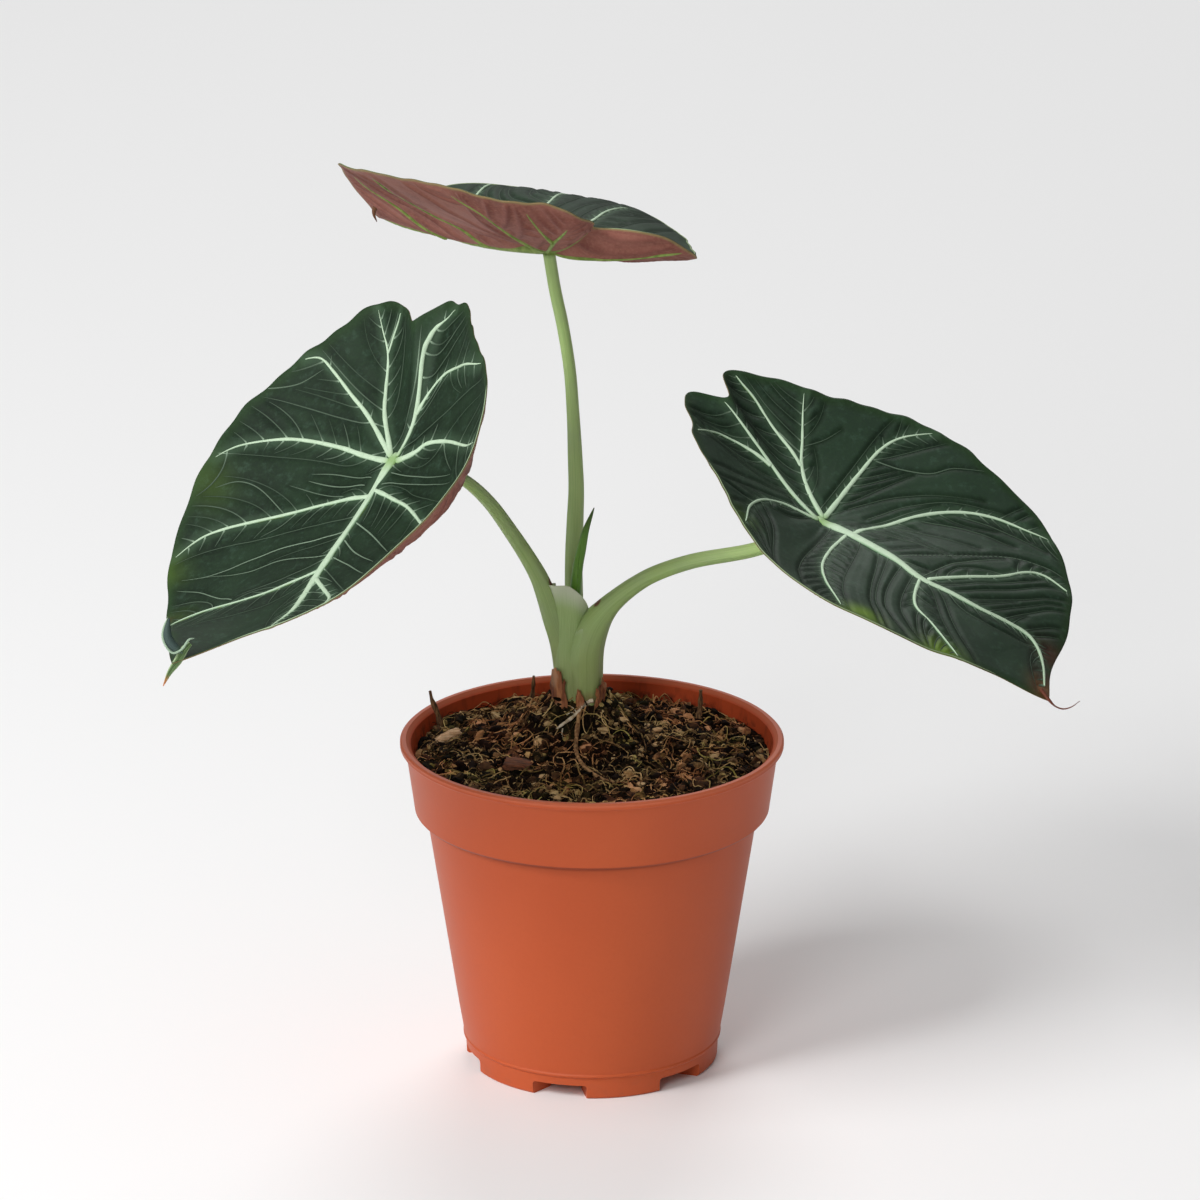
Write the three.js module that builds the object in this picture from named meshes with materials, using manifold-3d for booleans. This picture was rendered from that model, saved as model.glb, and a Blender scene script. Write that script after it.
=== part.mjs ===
// A small potted alocasia: three peltate leaves with pale raised veins, held on sheathing
// petioles that rise from a corm in potting mix, in a thin plastic nursery pot.
// Millimetres, +Z up. The origin is the middle of the pot's base, on the ground.
import * as THREE from 'three';
import { mergeVertices } from 'three/addons/utils/BufferGeometryUtils.js';
import Module from 'manifold-3d';

const wasm = await Module();
wasm.setup();

// ---- driving dimensions ------------------------------------------------------------------

const GAP = 0.3;              // room left between touching pieces

const RIM_R = 52.5;           // outer radius of the lip
const POT_H = 92.5;           // height of the lip's top
const LIP_H = 2;              // height of the lip's band
const COLLAR_TOP_R = 51;      // collar just under the lip
const COLLAR_BOTTOM_R = 48.6; // collar's lower edge
const COLLAR_Z = 72.3;        // height of the collar's lower edge
const BODY_TOP_R = 45.4;      // tapered body under the collar
const BODY_BOTTOM_R = 35.5;
const LEDGE_Z = 7;            // shallow ledge above the foot
const FOOT_R = 34.2;
const WALL = 1.4;
const FLOOR_Z = 3;            // underside of the raised floor
const PAD_R = 10;             // flat pad in the middle of the base
const NOTCHES = 6;            // openings in the foot ring, with a drain hole above each land
const NOTCH_WIDTH = 17.5;
const NOTCH_TURN = -15;       // degrees from the front
const DRAIN_R = 4;
const DRAIN_AT = 23;
const POT_SIDES = 36;

const SOIL_EDGE_Z = 87.5;     // height of the mix at the wall
const MOUND_H = 10;           // how far it is heaped round the plant
const MOUND_R = 20;
const CROWN = [-3.8, 8];      // where the plant stands, in plan
const SOIL_SIDES = 30;
const SOIL_LUMPS = 46;
const LUMP_R = [2.5, 5.5];
const LUMP_H = [0.8, 2.4];

const BLADE_T = 0.8;          // thickness of a leaf blade
const BLADE_SPOKES = 32;
const BLADE_RINGS = [0.2, 0.42, 0.65, 0.86];
const SPOKE_CROWDING = 0.24;  // spokes stand closer at the tip and at the notch
const VEIN_TOP = 0.8;         // height of the vein net above the middle of the blade
const VEIN_BOTTOM = 0.95;     // and its depth below
const MIDRIB_EXTRA = 0.35;    // the midrib stands this much further out, both ways
const CUT_DEPTH = 1.1;        // the place cut for a vein goes this much past both its faces
const HUB = [3.4, 2.2, [[-7, 0], [6, 0]]]; // broad pale patch where all the veins meet
const WIDE_VEIN = 1.5;         // from this half width on, a vein is folded along its middle
const VEIN_STEPS = 4;
const MIDRIB_STEPS = 8;

// ---- the three leaves --------------------------------------------------------------------
// at: where the petiole joins the blade. heading, droop, roll: degrees, the way the tip points
// in plan, how far it points down, and how far the left half is lifted.
// spokes: [angle from the tip, reach to the margin, rise half way out, rise at the margin].
// veins: [half width at the start, at the end, [points in the plane of the leaf]].

const LEFT_LEAF = {
  at: [-53, -30, 181.6],
  heading: -127,
  droop: 21,
  roll: 20,
  spokes: [
    [0, 96, -7, 3], [8, 83.5, -7, 0], [18, 79, -7, -1], [30, 75.5, -7, -0.5], [42, 71.5, -7, 2.5],
    [54, 68, -6.5, 5.5], [66, 62, -5, 8.5], [80, 54, -2, 13], [95, 47, 1, 17], [110, 41, 4, 20],
    [125, 37.5, 6, 22.5], [138, 37.5, 7, 24], [150, 39, 8, 25], [161, 39, 8, 25],
    [170, 38.5, 8, 25], [180, 31.5, 8, 25], [190, 36.5, 8, 25.5], [200, 43, 8.5, 26.5],
    [208, 46.5, 9, 27], [222, 44.5, 9, 26], [237, 45, 8, 24.5], [252, 48.5, 6.5, 22],
    [266, 53, 4.5, 19.5], [280, 56.5, 2, 15.5], [293, 62, -0.5, 9], [304, 67.5, -2.5, 2],
    [315, 71, -4, -3.5], [328, 74.5, -5.5, -5], [341, 79, -6.5, 0], [352, 85, -7, 4],
    [360, 96, -7, 3],
  ],
  veins: [
    [2.0, 0.6, [[-3, 0], [22, -2], [46, 0], [68, 4], [86, 2]]],
    [1.0, 0.5, [[-1, -1], [-20, -13], [-31, -16], [-38, -21]]],
    [0.6, 0.45, [[-29, -15.5], [-33.5, -12.5]]],
    [1.0, 0.5, [[-1, -1], [-15, -18], [-22, -29], [-22, -37]]],
    [1.1, 0.5, [[0, -1], [-3, -22], [-1, -39], [10, -52]]],
    [1.0, 0.5, [[12, -2], [17, -26], [24, -41], [38, -53]]],
    [0.9, 0.5, [[42, -1], [49, -14], [56, -25], [64, -36]]],
    [1.1, 0.5, [[-1, 1], [-14, 2.5], [-25, 6], [-32, 13]]],
    [0.8, 0.5, [[-14, 2], [-20, 10], [-19, 22], [-13, 36]]],
    [1.0, 0.5, [[0, 1], [-4, 11], [-3, 22], [4, 38]]],
    [0.9, 0.5, [[10, -1], [14, 14], [22, 28], [33, 42]]],
    [0.8, 0.5, [[44, 0], [50, 10], [58, 22], [66, 29]]],
  ],
};

const RIGHT_LEAF = {
  at: [61.8, -30, 164.3],
  heading: -42,
  droop: 20,
  roll: -1,
  spokes: [
    [0, 84, 5.5, -3.5], [10, 75, 5.5, -3.5], [18, 73, 5.5, -2.5], [27, 71, 5, 0],
    [38, 68, 4.5, 2.5], [50, 64, 4, 6], [62, 57, 5, 10], [74, 50, 5.5, 14], [88, 46, 6, 16],
    [105, 42.5, 6, 16.5], [120, 40, 6, 16.5], [135, 39.5, 6, 16.5], [147, 42, 6, 16.5],
    [156, 46, 6, 16], [165, 50.5, 5.5, 15.5], [172, 51, 5.5, 15.5], [180, 42, 5, 15],
    [188, 49, 5, 14], [197, 47.5, 5, 14], [204, 43.5, 5, 14], [214, 41, 5, 14], [228, 38, 5, 14],
    [242, 36.5, 5, 14], [256, 37, 4.5, 13], [270, 40, 4.5, 12], [284, 45, 4, 11],
    [298, 55.5, 4, 13], [310, 64, 5, 14], [322, 68, 5.5, 12.5], [333, 71, 5.5, 9],
    [342, 73, 5.5, 6], [350, 75, 5.5, 2], [360, 84, 5.5, -3.5],
  ],
  veins: [
    [1.9, 0.6, [[-3, 0], [22, -3], [44, -2], [62, 5], [76, 4]]],
    [0.9, 0.5, [[-1, 1], [-19, 8], [-32, 10], [-43, 9]]],
    [0.7, 0.45, [[-18, 7.5], [-26, 15], [-31, 21]]],
    [1.1, 0.5, [[-1, 1], [-7, 21], [-9, 33], [-5, 41]]],
    [1.0, 0.5, [[11, -1], [12, 22], [20, 35], [36, 45]]],
    [0.9, 0.5, [[40, -2], [43, 17], [48, 30], [56, 36]]],
    [1.0, 0.5, [[-1, -1], [-23, -1.5], [-36, -3], [-44, -7]]],
    [0.8, 0.5, [[-22, -1.5], [-30, -6], [-33, -16]]],
    [0.9, 0.5, [[0, -1], [-8, -7], [-9, -18], [-3, -34]]],
    [0.8, 0.5, [[9, -1], [14, -15], [21, -26], [31, -36]]],
    [0.7, 0.5, [[37, -2], [43, -12], [54, -20], [64, -23]]],
  ],
};

const TOP_LEAF = {
  at: [-11.7, 4, 230],
  heading: 128,
  droop: 5.5,
  roll: 0,
  spokes: [
    [0, 78, -2.5, -0.5], [6, 72, 0, 5], [12, 69, 4, 11], [22, 63.5, 7, 18], [35, 58, 9.5, 23.5],
    [48, 52.5, 10.5, 25], [62, 47, 11, 26], [78, 41, 10.5, 25.5], [95, 37.5, 9.5, 25],
    [112, 36, 8.5, 23], [128, 35.5, 7.5, 21], [144, 35, 7, 20], [158, 33.5, 5.5, 15.5],
    [170, 28, 4, 12], [180, 21, 3, 9.5], [188, 24, 2, 8.5], [196, 32, -1, 8],
    [205, 38, -4, 5.5], [215, 41, -5, 1], [228, 40, -4.5, -2], [245, 40, -1.5, -3],
    [262, 43, 1.5, -4], [280, 49, 3.5, -3.5], [297, 58, 5, -2], [315, 65, 6, 0],
    [330, 68, 6, 4], [345, 71, 4, 6], [354, 73, 0, 3.5], [360, 78, -2.5, -0.5],
  ],
  veins: [
    [1.8, 0.6, [[-3, 0], [22, 0], [46, -1], [69, 0]]],
    [0.9, 0.5, [[0, 1], [-5, 15], [-7, 25], [-4, 32]]],
    [0.9, 0.5, [[24, 0], [32, 10], [33, 21], [27, 35]]],
    [0.8, 0.5, [[45, 0], [51, 8], [54, 18], [52, 24]]],
    [0.9, 0.5, [[-1, 1], [-12, 7], [-21, 10]]],
    [0.6, 0.45, [[-12, 7], [-17, 15], [-20, 20]]],
    [0.9, 0.5, [[-1, -1], [-14, -6], [-24, -13], [-31, -19]]],
    [0.8, 0.5, [[-1, -1], [-11, -15], [-17, -24], [-20, -29]]],
    [0.9, 0.5, [[1, -1], [3, -18], [9, -29], [14, -40]]],
    [0.9, 0.5, [[24, 0], [31, -16], [36, -31], [41, -42]]],
    [0.7, 0.5, [[44, 0], [51, -14], [57, -22], [61, -27]]],
  ],
};

// ---- petioles, new leaf, roots and litter -------------------------------------------------
// Each path runs from its base upwards: [x, y, z, radius].

const LEFT_PETIOLE = [
  [-6, 8, 80, 3.2], [-6.1, 7.5, 97, 3.5], [-6.7, 7, 108, 3.6], [-8, 6, 118, 3.6],
  [-10.6, 5, 126, 3.2], [-12.6, 3, 133, 2.8], [-13.8, 1.5, 138, 2.5], [-16.8, -0.5, 142.7, 2.2],
  [-21.3, -4, 152.2, 2.0], [-27.9, -10, 163.8, 1.8], [-35, -18, 172.9, 1.6],
  [-44, -25.5, 179.2, 1.6], [-53, -30, 181.6, 1.6],
];
// the thin wing of the left petiole that still wraps the new leaf
const LEFT_SHEATH = [
  [-6, 6.5, 88, 3], [-6.4, 6.2, 108, 3.9], [-6.3, 5.6, 122, 3.9], [-6, 5.3, 130, 3.1],
  [-6.8, 5, 135.5, 1.4],
];
const RIGHT_PETIOLE = [
  [-1.7, 5.5, 80, 3.5], [-1.7, 5.2, 97, 3.9], [-1.4, 4.6, 108, 4.3], [-1.2, 3.6, 118, 4.6],
  [1.6, 2.4, 126, 4.2], [6.4, 0.4, 132, 3.2], [11.4, -3, 137.5, 2.6], [17.1, -7, 142.9, 2.3],
  [27, -13, 148.4, 2.1], [42.6, -22, 154.2, 1.9], [54, -27.5, 159.4, 1.8],
  [61.8, -30, 164.3, 1.8],
];
const TOP_PETIOLE = [
  [-4.2, 10.5, 80, 2.4], [-4.1, 10.8, 102, 2.6], [-4.9, 11, 128, 2.5], [-5, 11, 140, 2.4],
  [-4.6, 11, 151.5, 2.3], [-4.3, 11, 160, 2.15], [-4.6, 11, 170, 2.0], [-5.1, 10.5, 181.6, 1.75],
  [-6, 9.5, 194.7, 1.65], [-7.9, 8, 207.8, 1.65], [-9.9, 6.5, 218.1, 1.65],
  [-11.7, 4, 230, 1.65],
];
const NEW_LEAF = [
  [-4.6, 6, 112, 1.1], [-4.6, 5.5, 121.7, 1.25], [-4.3, 4.8, 133.2, 1.3],
  [-3.2, 4.3, 140.8, 1.3], [-1.6, 4, 148.1, 0.9], [0.6, 4, 157.5, 0.25],
];
const CORM = [
  [-3.8, 8.2, 66, 2.6], [-3.8, 8.2, 70, 6], [-3.8, 8.2, 75, 7.2], [-3.8, 8.2, 79.7, 6.4],
];
const ROOTS = {
  surface_root_pale: [
    [-1.2, 1.5, 97.2, 0.7], [-3, -0.8, 97.4, 0.7], [-6, -1.5, 96.3, 0.65], [-9.6, -2.4, 95, 0.55],
    [-12.4, -3, 93.4, 0.5],
  ],
  surface_root_tan: [
    [-3.6, 2.4, 95.6, 0.8], [-4.1, -7.8, 93.1, 0.75], [-4.1, -15.7, 90.5, 0.65],
    [-2.1, -20.5, 89.3, 0.6], [1.9, -24.2, 88.7, 0.55], [8.9, -26.4, 88, 0.5],
  ],
};
const TWIGS = {
  twig_left: [
    [-40.4, 23, 85.5, 0.9], [-41.8, 22.3, 88, 0.85], [-42.6, 22, 91, 0.8],
    [-44.2, 22, 95.4, 0.6], [-44.7, 22, 98.1, 0.35],
  ],
  twig_back_left: [
    [-17.2, 37.6, 86, 0.7], [-16.5, 38, 92.6, 0.6], [-16.2, 38, 96.8, 0.4],
  ],
  twig_back_right: [
    [29.3, 26, 85, 0.8], [29.9, 27, 91.9, 0.7], [30.1, 27, 96.6, 0.45],
  ],
};
const CHIPS = {
  wood_chip: { at: [-39.4, 10, 88.8], size: [7, 3.4, 2.2], turn: [14, -10, 20], color: '#d9b98c' },
  bark_chip: { at: [-20.1, -15, 90], size: [8.5, 5.2, 2.4], turn: [8, 12, -16], color: '#6b4327' },
};
// dry brown remains of old sheaths, on the outside of the crown: [x, y, z, radius]
const SCRAPS = {
  sheath_scrap_left: [-9.8, 4.4, 104, 3.2],
  sheath_scrap_front: [-3, 0.6, 104.5, 2.2],
  sheath_scrap_right: [2.6, 3.4, 101.5, 3],
};
const SCRAP_T = 0.8;

// ---- small tools -------------------------------------------------------------------------

const radians = THREE.MathUtils.degToRad;

// A steady stream of numbers from 0 to 1, the same on each run.
function seeded(seed) {
  let state = seed;
  return () => {
    state = (state * 16807) % 2147483647;
    return state / 2147483647;
  };
}

function between(range, share) {
  return range[0] + (range[1] - range[0]) * share;
}

// A smooth curve through rows [x, a, b, ...] at x, one value for each later column.
function throughRows(rows, x) {
  const last = rows.length - 2;
  let i = rows.findIndex((row, k) => k > 0 && x <= row[0]) - 1;
  i = i < 0 ? last : Math.min(i, last);
  const step = (k) => rows[k + 1][0] - rows[k][0];
  const slope = (k, c) => (rows[k + 1][c] - rows[k][c]) / step(k);
  const tangent = (k, c) => {
    if (k === 0) return slope(0, c);
    if (k === rows.length - 1) return slope(k - 1, c);
    return (slope(k - 1, c) * step(k) + slope(k, c) * step(k - 1)) / (step(k - 1) + step(k));
  };
  const h = step(i);
  const t = (x - rows[i][0]) / h;
  const t2 = t * t;
  const t3 = t2 * t;
  return rows[i].slice(1).map((value, k) => {
    const c = k + 1;
    return (2 * t3 - 3 * t2 + 1) * value + (t3 - 2 * t2 + t) * h * tangent(i, c)
      + (3 * t2 - 2 * t3) * rows[i + 1][c] + (t3 - t2) * h * tangent(i + 1, c);
  });
}

// Moves every corner of a geometry by a rule.
function reshape(geometry, rule) {
  const position = geometry.attributes.position;
  const corner = new THREE.Vector3();
  for (let i = 0; i < position.count; i += 1) {
    corner.fromBufferAttribute(position, i);
    const moved = rule(corner.x, corner.y, corner.z);
    position.setXYZ(i, moved.x, moved.y, moved.z);
  }
  return geometry;
}

// A closed geometry as a solid that can be joined and cut.
function solid(geometry) {
  let bare = geometry.clone();
  bare.deleteAttribute('normal');
  bare.deleteAttribute('uv');
  bare = mergeVertices(bare, 1e-4);
  const vertProperties = new Float32Array(bare.attributes.position.array);
  const triVerts = new Uint32Array(bare.index.array);
  return new wasm.Manifold(new wasm.Mesh({ numProp: 3, vertProperties, triVerts }));
}

const group = new THREE.Group();

// Adds a solid to the plant as a named mesh of one colour.
function place(name, body, color, roughness) {
  const { vertProperties, triVerts } = body.getMesh();
  const geometry = new THREE.BufferGeometry();
  geometry.setAttribute('position', new THREE.BufferAttribute(vertProperties, 3));
  geometry.setIndex(new THREE.BufferAttribute(triVerts, 1));
  geometry.computeVertexNormals();
  const material = new THREE.MeshStandardMaterial({ color, roughness, metalness: 0 });
  const mesh = new THREE.Mesh(geometry, material);
  mesh.name = name;
  group.add(mesh);
}

// ---- tapered round lengths: petioles, roots, twigs ----------------------------------------

// A closed round bar along a path of [x, y, z, radius], made thicker by extra.
function bar(path, sides, steps, extra = 0) {
  const curve = new THREE.CatmullRomCurve3(path.map(([x, y, z]) => new THREE.Vector3(x, y, z)));
  const rows = path.map((point, i) => [i, point[3]]);
  const frames = [];
  for (let i = 0; i <= steps; i += 1) {
    const t = i / steps;
    const along = curve.getTangent(t);
    const side = new THREE.Vector3(0, 1, 0).cross(along).normalize();
    frames.push({
      middle: curve.getPoint(t),
      along,
      side,
      front: along.clone().cross(side),
      radius: throughRows(rows, t * (path.length - 1))[0] + extra,
    });
  }
  const geometry = new THREE.CylinderGeometry(1, 1, 1, sides, steps);
  return solid(reshape(geometry, (x, y, z) => {
    const frame = frames[Math.round((y + 0.5) * steps)];
    const end = Math.abs(y) > 0.499 ? Math.sign(y) * extra : 0;
    return frame.middle.clone()
      .addScaledVector(frame.side, x * frame.radius)
      .addScaledVector(frame.front, -z * frame.radius)
      .addScaledVector(frame.along, end);
  }));
}

// ---- leaves ------------------------------------------------------------------------------

// The three directions of a leaf: to its tip, to its left, and up through its face.
function leafAxes(leaf) {
  const heading = radians(leaf.heading);
  const droop = radians(leaf.droop);
  const roll = radians(leaf.roll);
  const tip = new THREE.Vector3(
    Math.cos(heading) * Math.cos(droop),
    Math.sin(heading) * Math.cos(droop),
    -Math.sin(droop),
  );
  const level = new THREE.Vector3(-Math.sin(heading), Math.cos(heading), 0);
  const up = tip.clone().cross(level);
  const left = level.multiplyScalar(Math.cos(roll)).addScaledVector(up, Math.sin(roll));
  return { tip, left, face: tip.clone().cross(left) };
}

// The middle of the blade above the point (x, y) of the leaf's plane. Along each spoke it
// rises in a curve that passes the spoke's two heights, half way out and at the margin.
function onBlade(leaf, x, y) {
  const angle = (THREE.MathUtils.radToDeg(Math.atan2(y, x)) + 360) % 360;
  const [reach, middle, edge] = throughRows(leaf.spokes, angle);
  const out = Math.hypot(x, y) / reach;
  const rise = 4 * middle * out * (1 - out) + edge * out * (2 * out - 1);
  return new THREE.Vector3(...leaf.at)
    .addScaledVector(leaf.axes.tip, x)
    .addScaledVector(leaf.axes.left, y)
    .addScaledVector(leaf.axes.face, rise);
}

// The same point, lifted square off the blade.
function offBlade(leaf, x, y, lift) {
  const reachAcross = 1;
  const alongTip = onBlade(leaf, x + reachAcross, y).sub(onBlade(leaf, x - reachAcross, y));
  const alongLeft = onBlade(leaf, x, y + reachAcross).sub(onBlade(leaf, x, y - reachAcross));
  const normal = alongTip.cross(alongLeft).normalize();
  return onBlade(leaf, x, y).addScaledVector(normal, lift);
}

// A disc of spokes and rings, whose two faces are split into triangles alike, bent into the
// blade. Half is its half thickness.
function blade(leaf, half) {
  const rim = [[1, -half * 0.6], [1, half * 0.6]];
  const lower = [0, ...BLADE_RINGS].map((out) => [out, -half]);
  const upper = [...lower].reverse().map(([out]) => [out, half]);
  const profile = [...lower, ...rim, ...upper].map(([out, z]) => new THREE.Vector2(out, z));
  const geometry = new THREE.LatheGeometry(profile, BLADE_SPOKES);
  const index = [];
  for (let spoke = 0; spoke < BLADE_SPOKES; spoke += 1) {
    for (let ring = 0; ring < profile.length - 1; ring += 1) {
      const a = spoke * profile.length + ring;
      const b = a + profile.length;
      if (ring > 0 && ring < lower.length) index.push(a, b, a + 1, b + 1, a + 1, b);
      else if (ring === 0) index.push(a, b + 1, a + 1);
      else if (ring === profile.length - 2) index.push(a, b, a + 1);
      else index.push(a, b, b + 1, a, b + 1, a + 1);
    }
  }
  geometry.setIndex(index);
  return solid(reshape(geometry, (x, y, z) => {
    const turn = Math.atan2(x, z);
    const angle = turn - SPOKE_CROWDING * Math.sin(2 * turn);
    const out = Math.hypot(x, z);
    const degrees = (THREE.MathUtils.radToDeg(angle) + 360) % 360;
    const reach = throughRows(leaf.spokes, degrees)[0] * out;
    return offBlade(leaf, reach * Math.cos(angle), reach * Math.sin(angle), y);
  }));
}

// One vein: a strip through the blade along its points, standing out above and below.
// Spare widens, lengthens and deepens it, to cut its own place in the blade.
function vein(leaf, row, main, spare) {
  const [startWidth, endWidth, points] = row;
  const curve = new THREE.SplineCurve(points.map(([x, y]) => new THREE.Vector2(x, y)));
  const steps = main ? MIDRIB_STEPS : VEIN_STEPS;
  const extra = (main ? MIDRIB_EXTRA : 0) + (spare > 0 ? CUT_DEPTH : 0);
  const across = startWidth > WIDE_VEIN ? 2 : 1;
  const geometry = new THREE.BoxGeometry(1, 1, 1, steps, across, 1);
  return solid(reshape(geometry, (x, y, z) => {
    const share = x + 0.5;
    const middle = curve.getPoint(share);
    const along = curve.getTangent(share);
    const half = THREE.MathUtils.lerp(startWidth, endWidth, Math.sqrt(share)) + spare;
    const end = Math.abs(x) > 0.499 ? Math.sign(x) * spare : 0;
    const lift = z > 0 ? VEIN_TOP + extra : -VEIN_BOTTOM - extra;
    const px = middle.x + along.x * end - along.y * 2 * y * half;
    const py = middle.y + along.y * end + along.x * 2 * y * half;
    return offBlade(leaf, px, py, lift);
  }));
}

function veinNet(leaf, spare) {
  const strips = leaf.veins.map((row, i) => vein(leaf, row, i === 0, spare));
  return strips.reduce((net, strip) => net.add(strip), vein(leaf, HUB, false, 2 * spare));
}

function addLeaf(side, leaf) {
  leaf.axes = leafAxes(leaf);
  const net = veinNet(leaf, 0);
  const cut = blade(leaf, BLADE_T / 2).subtract(net.add(veinNet(leaf, GAP)));
  place(`blade_${side}`, cut, '#2c4433', 0.75);
  place(`veins_${side}`, net, '#b9cfb0', 0.6);
}

// The room that a leaf and its veins take up, for the petiole to end under.
function underLeaf(leaf) {
  return blade(leaf, VEIN_BOTTOM + MIDRIB_EXTRA + GAP);
}

// ---- pot ---------------------------------------------------------------------------------

function pot() {
  const inner = (r) => r - WALL;
  const floorTop = FLOOR_Z + WALL;
  const profile = [
    [0, 0], [PAD_R - 0.6, 0], [PAD_R, 0.6], [PAD_R, FLOOR_Z],
    [FOOT_R - 2.4, FLOOR_Z], [FOOT_R - 2.2, 0.4], [FOOT_R - 1.8, 0],
    [FOOT_R, 0], [FOOT_R + 0.5, 0.5], [BODY_BOTTOM_R - 0.5, LEDGE_Z - 0.5], [BODY_BOTTOM_R, LEDGE_Z],
    [BODY_TOP_R, COLLAR_Z - 0.8], [BODY_TOP_R + 0.6, COLLAR_Z], [COLLAR_BOTTOM_R - 0.6, COLLAR_Z],
    [COLLAR_BOTTOM_R, COLLAR_Z + 0.7], [COLLAR_TOP_R, POT_H - LIP_H - 0.6],
    [RIM_R - 0.3, POT_H - LIP_H], [RIM_R, POT_H - LIP_H + 0.4], [RIM_R, POT_H - 0.5],
    [RIM_R - 0.5, POT_H], [inner(RIM_R - 0.3), POT_H], [inner(COLLAR_TOP_R) - 0.1, POT_H - 1.2],
    [inner(COLLAR_BOTTOM_R), COLLAR_Z + 1.6], [inner(BODY_TOP_R), COLLAR_Z - 1],
    [inner(BODY_BOTTOM_R), floorTop + 2], [inner(BODY_BOTTOM_R) - 1.2, floorTop], [0, floorTop],
  ];
  const points = profile.map(([r, z]) => new THREE.Vector2(r, z));
  let body = solid(new THREE.LatheGeometry(points, POT_SIDES).rotateX(Math.PI / 2));
  for (let i = 0; i < NOTCHES; i += 1) {
    const turn = radians(NOTCH_TURN + (360 / NOTCHES) * i - 90);
    const notch = new THREE.BoxGeometry(12, NOTCH_WIDTH, FLOOR_Z * 2 - 0.4);
    notch.translate(FOOT_R + 1, 0, 0).rotateZ(turn);
    body = body.subtract(solid(notch));
    const drain = new THREE.CylinderGeometry(DRAIN_R, DRAIN_R, 4 * WALL, 12);
    drain.rotateX(Math.PI / 2).translate(DRAIN_AT, 0, floorTop - WALL / 2);
    drain.rotateZ(turn + Math.PI / NOTCHES);
    body = body.subtract(solid(drain));
  }
  return body;
}

// ---- potting mix -------------------------------------------------------------------------

// Heights of the mix: heaped round the plant, with rounded lumps drawn at random.
function mixHeights() {
  const random = seeded(7);
  const lumps = [];
  for (let i = 0; i < SOIL_LUMPS; i += 1) {
    const r = 44 * Math.sqrt(random());
    const turn = 2 * Math.PI * random();
    lumps.push({
      x: r * Math.cos(turn),
      y: r * Math.sin(turn),
      size: between(LUMP_R, random()),
      high: between(LUMP_H, random()),
    });
  }
  return (x, y) => {
    const away = Math.hypot(x - CROWN[0], y - CROWN[1]) / MOUND_R;
    let z = SOIL_EDGE_Z + MOUND_H * Math.exp(-away * away);
    for (const lump of lumps) {
      const near = 1 - ((x - lump.x) ** 2 + (y - lump.y) ** 2) / lump.size ** 2;
      if (near > 0) z += lump.high * near;
    }
    return z;
  };
}

function pottingMix(height) {
  const edge = COLLAR_TOP_R - WALL - GAP - 0.9;
  const rings = [0.14, 0.28, 0.42, 0.56, 0.7, 0.84, 0.94];
  const profile = [
    [0, FLOOR_Z + WALL + GAP], [BODY_BOTTOM_R - WALL - 1.8, FLOOR_Z + WALL + GAP],
    [BODY_BOTTOM_R - WALL - 0.5, FLOOR_Z + WALL + 2.4],
    [BODY_TOP_R - WALL - 0.6, COLLAR_Z - 1], [COLLAR_BOTTOM_R - WALL - 0.6, COLLAR_Z + 2],
    [edge, SOIL_EDGE_Z - 1], [edge - 0.6, SOIL_EDGE_Z],
    ...[...rings].reverse().map((out) => [edge * out, SOIL_EDGE_Z]), [0, SOIL_EDGE_Z],
  ];
  const points = profile.map(([r, z]) => new THREE.Vector2(r, z));
  const geometry = new THREE.LatheGeometry(points, SOIL_SIDES).rotateX(Math.PI / 2);
  return solid(reshape(geometry, (x, y, z) => {
    const top = z > SOIL_EDGE_Z - 0.01 && Math.hypot(x, y) < edge - 1;
    return new THREE.Vector3(x, y, top ? height(x, y) : z);
  }));
}

// A broken chip of wood or bark: a rough six-sided slab with worn corners.
function chip({ at, size, turn }, extra = 0) {
  const geometry = new THREE.BoxGeometry(1, 1, 1, 3, 2, 1);
  reshape(geometry, (x, y, z) => new THREE.Vector3(
    x * (1 - 0.5 * y * y) * (size[0] + 2 * extra),
    (y * (1 - 1.1 * x * x) + 0.12 * Math.sin(5 * x)) * (size[1] + 2 * extra),
    (z * (1 - 0.8 * y * y) + 0.1 * Math.sin(4 * x + 1)) * (size[2] + 2 * extra),
  ));
  geometry.rotateX(radians(turn[0])).rotateY(radians(turn[1])).rotateZ(radians(turn[2]));
  return solid(geometry.translate(...at));
}

// ---- the plant in its pot ----------------------------------------------------------------

const POT_COLOR = '#c4633f';
const MIX_COLOR = '#3d2b1f';
const STEM_COLOR = '#8fa86c';
const CORM_COLOR = '#6e5138';
const NEW_LEAF_COLOR = '#3f6b36';
const ROOT_COLORS = { surface_root_pale: '#cdbd9c', surface_root_tan: '#a98558' };
const TWIG_COLOR = '#5b4028';
const SCRAP_COLOR = '#7d4a2c';

const STEM_SIDES = 8;

addLeaf('left', LEFT_LEAF);
addLeaf('right', RIGHT_LEAF);
addLeaf('top', TOP_LEAF);

const topStem = (extra) => bar(TOP_PETIOLE, STEM_SIDES, 15, extra);
const leftStem = (extra) => bar(LEFT_PETIOLE, STEM_SIDES, 15, extra)
  .add(bar(LEFT_SHEATH, STEM_SIDES, 6, extra));
const rightStem = (extra) => bar(RIGHT_PETIOLE, STEM_SIDES, 15, extra);
const newLeaf = (extra) => bar(NEW_LEAF, 8, 8, extra);
const corm = (extra) => bar(CORM, STEM_SIDES, 6, extra);

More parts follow.
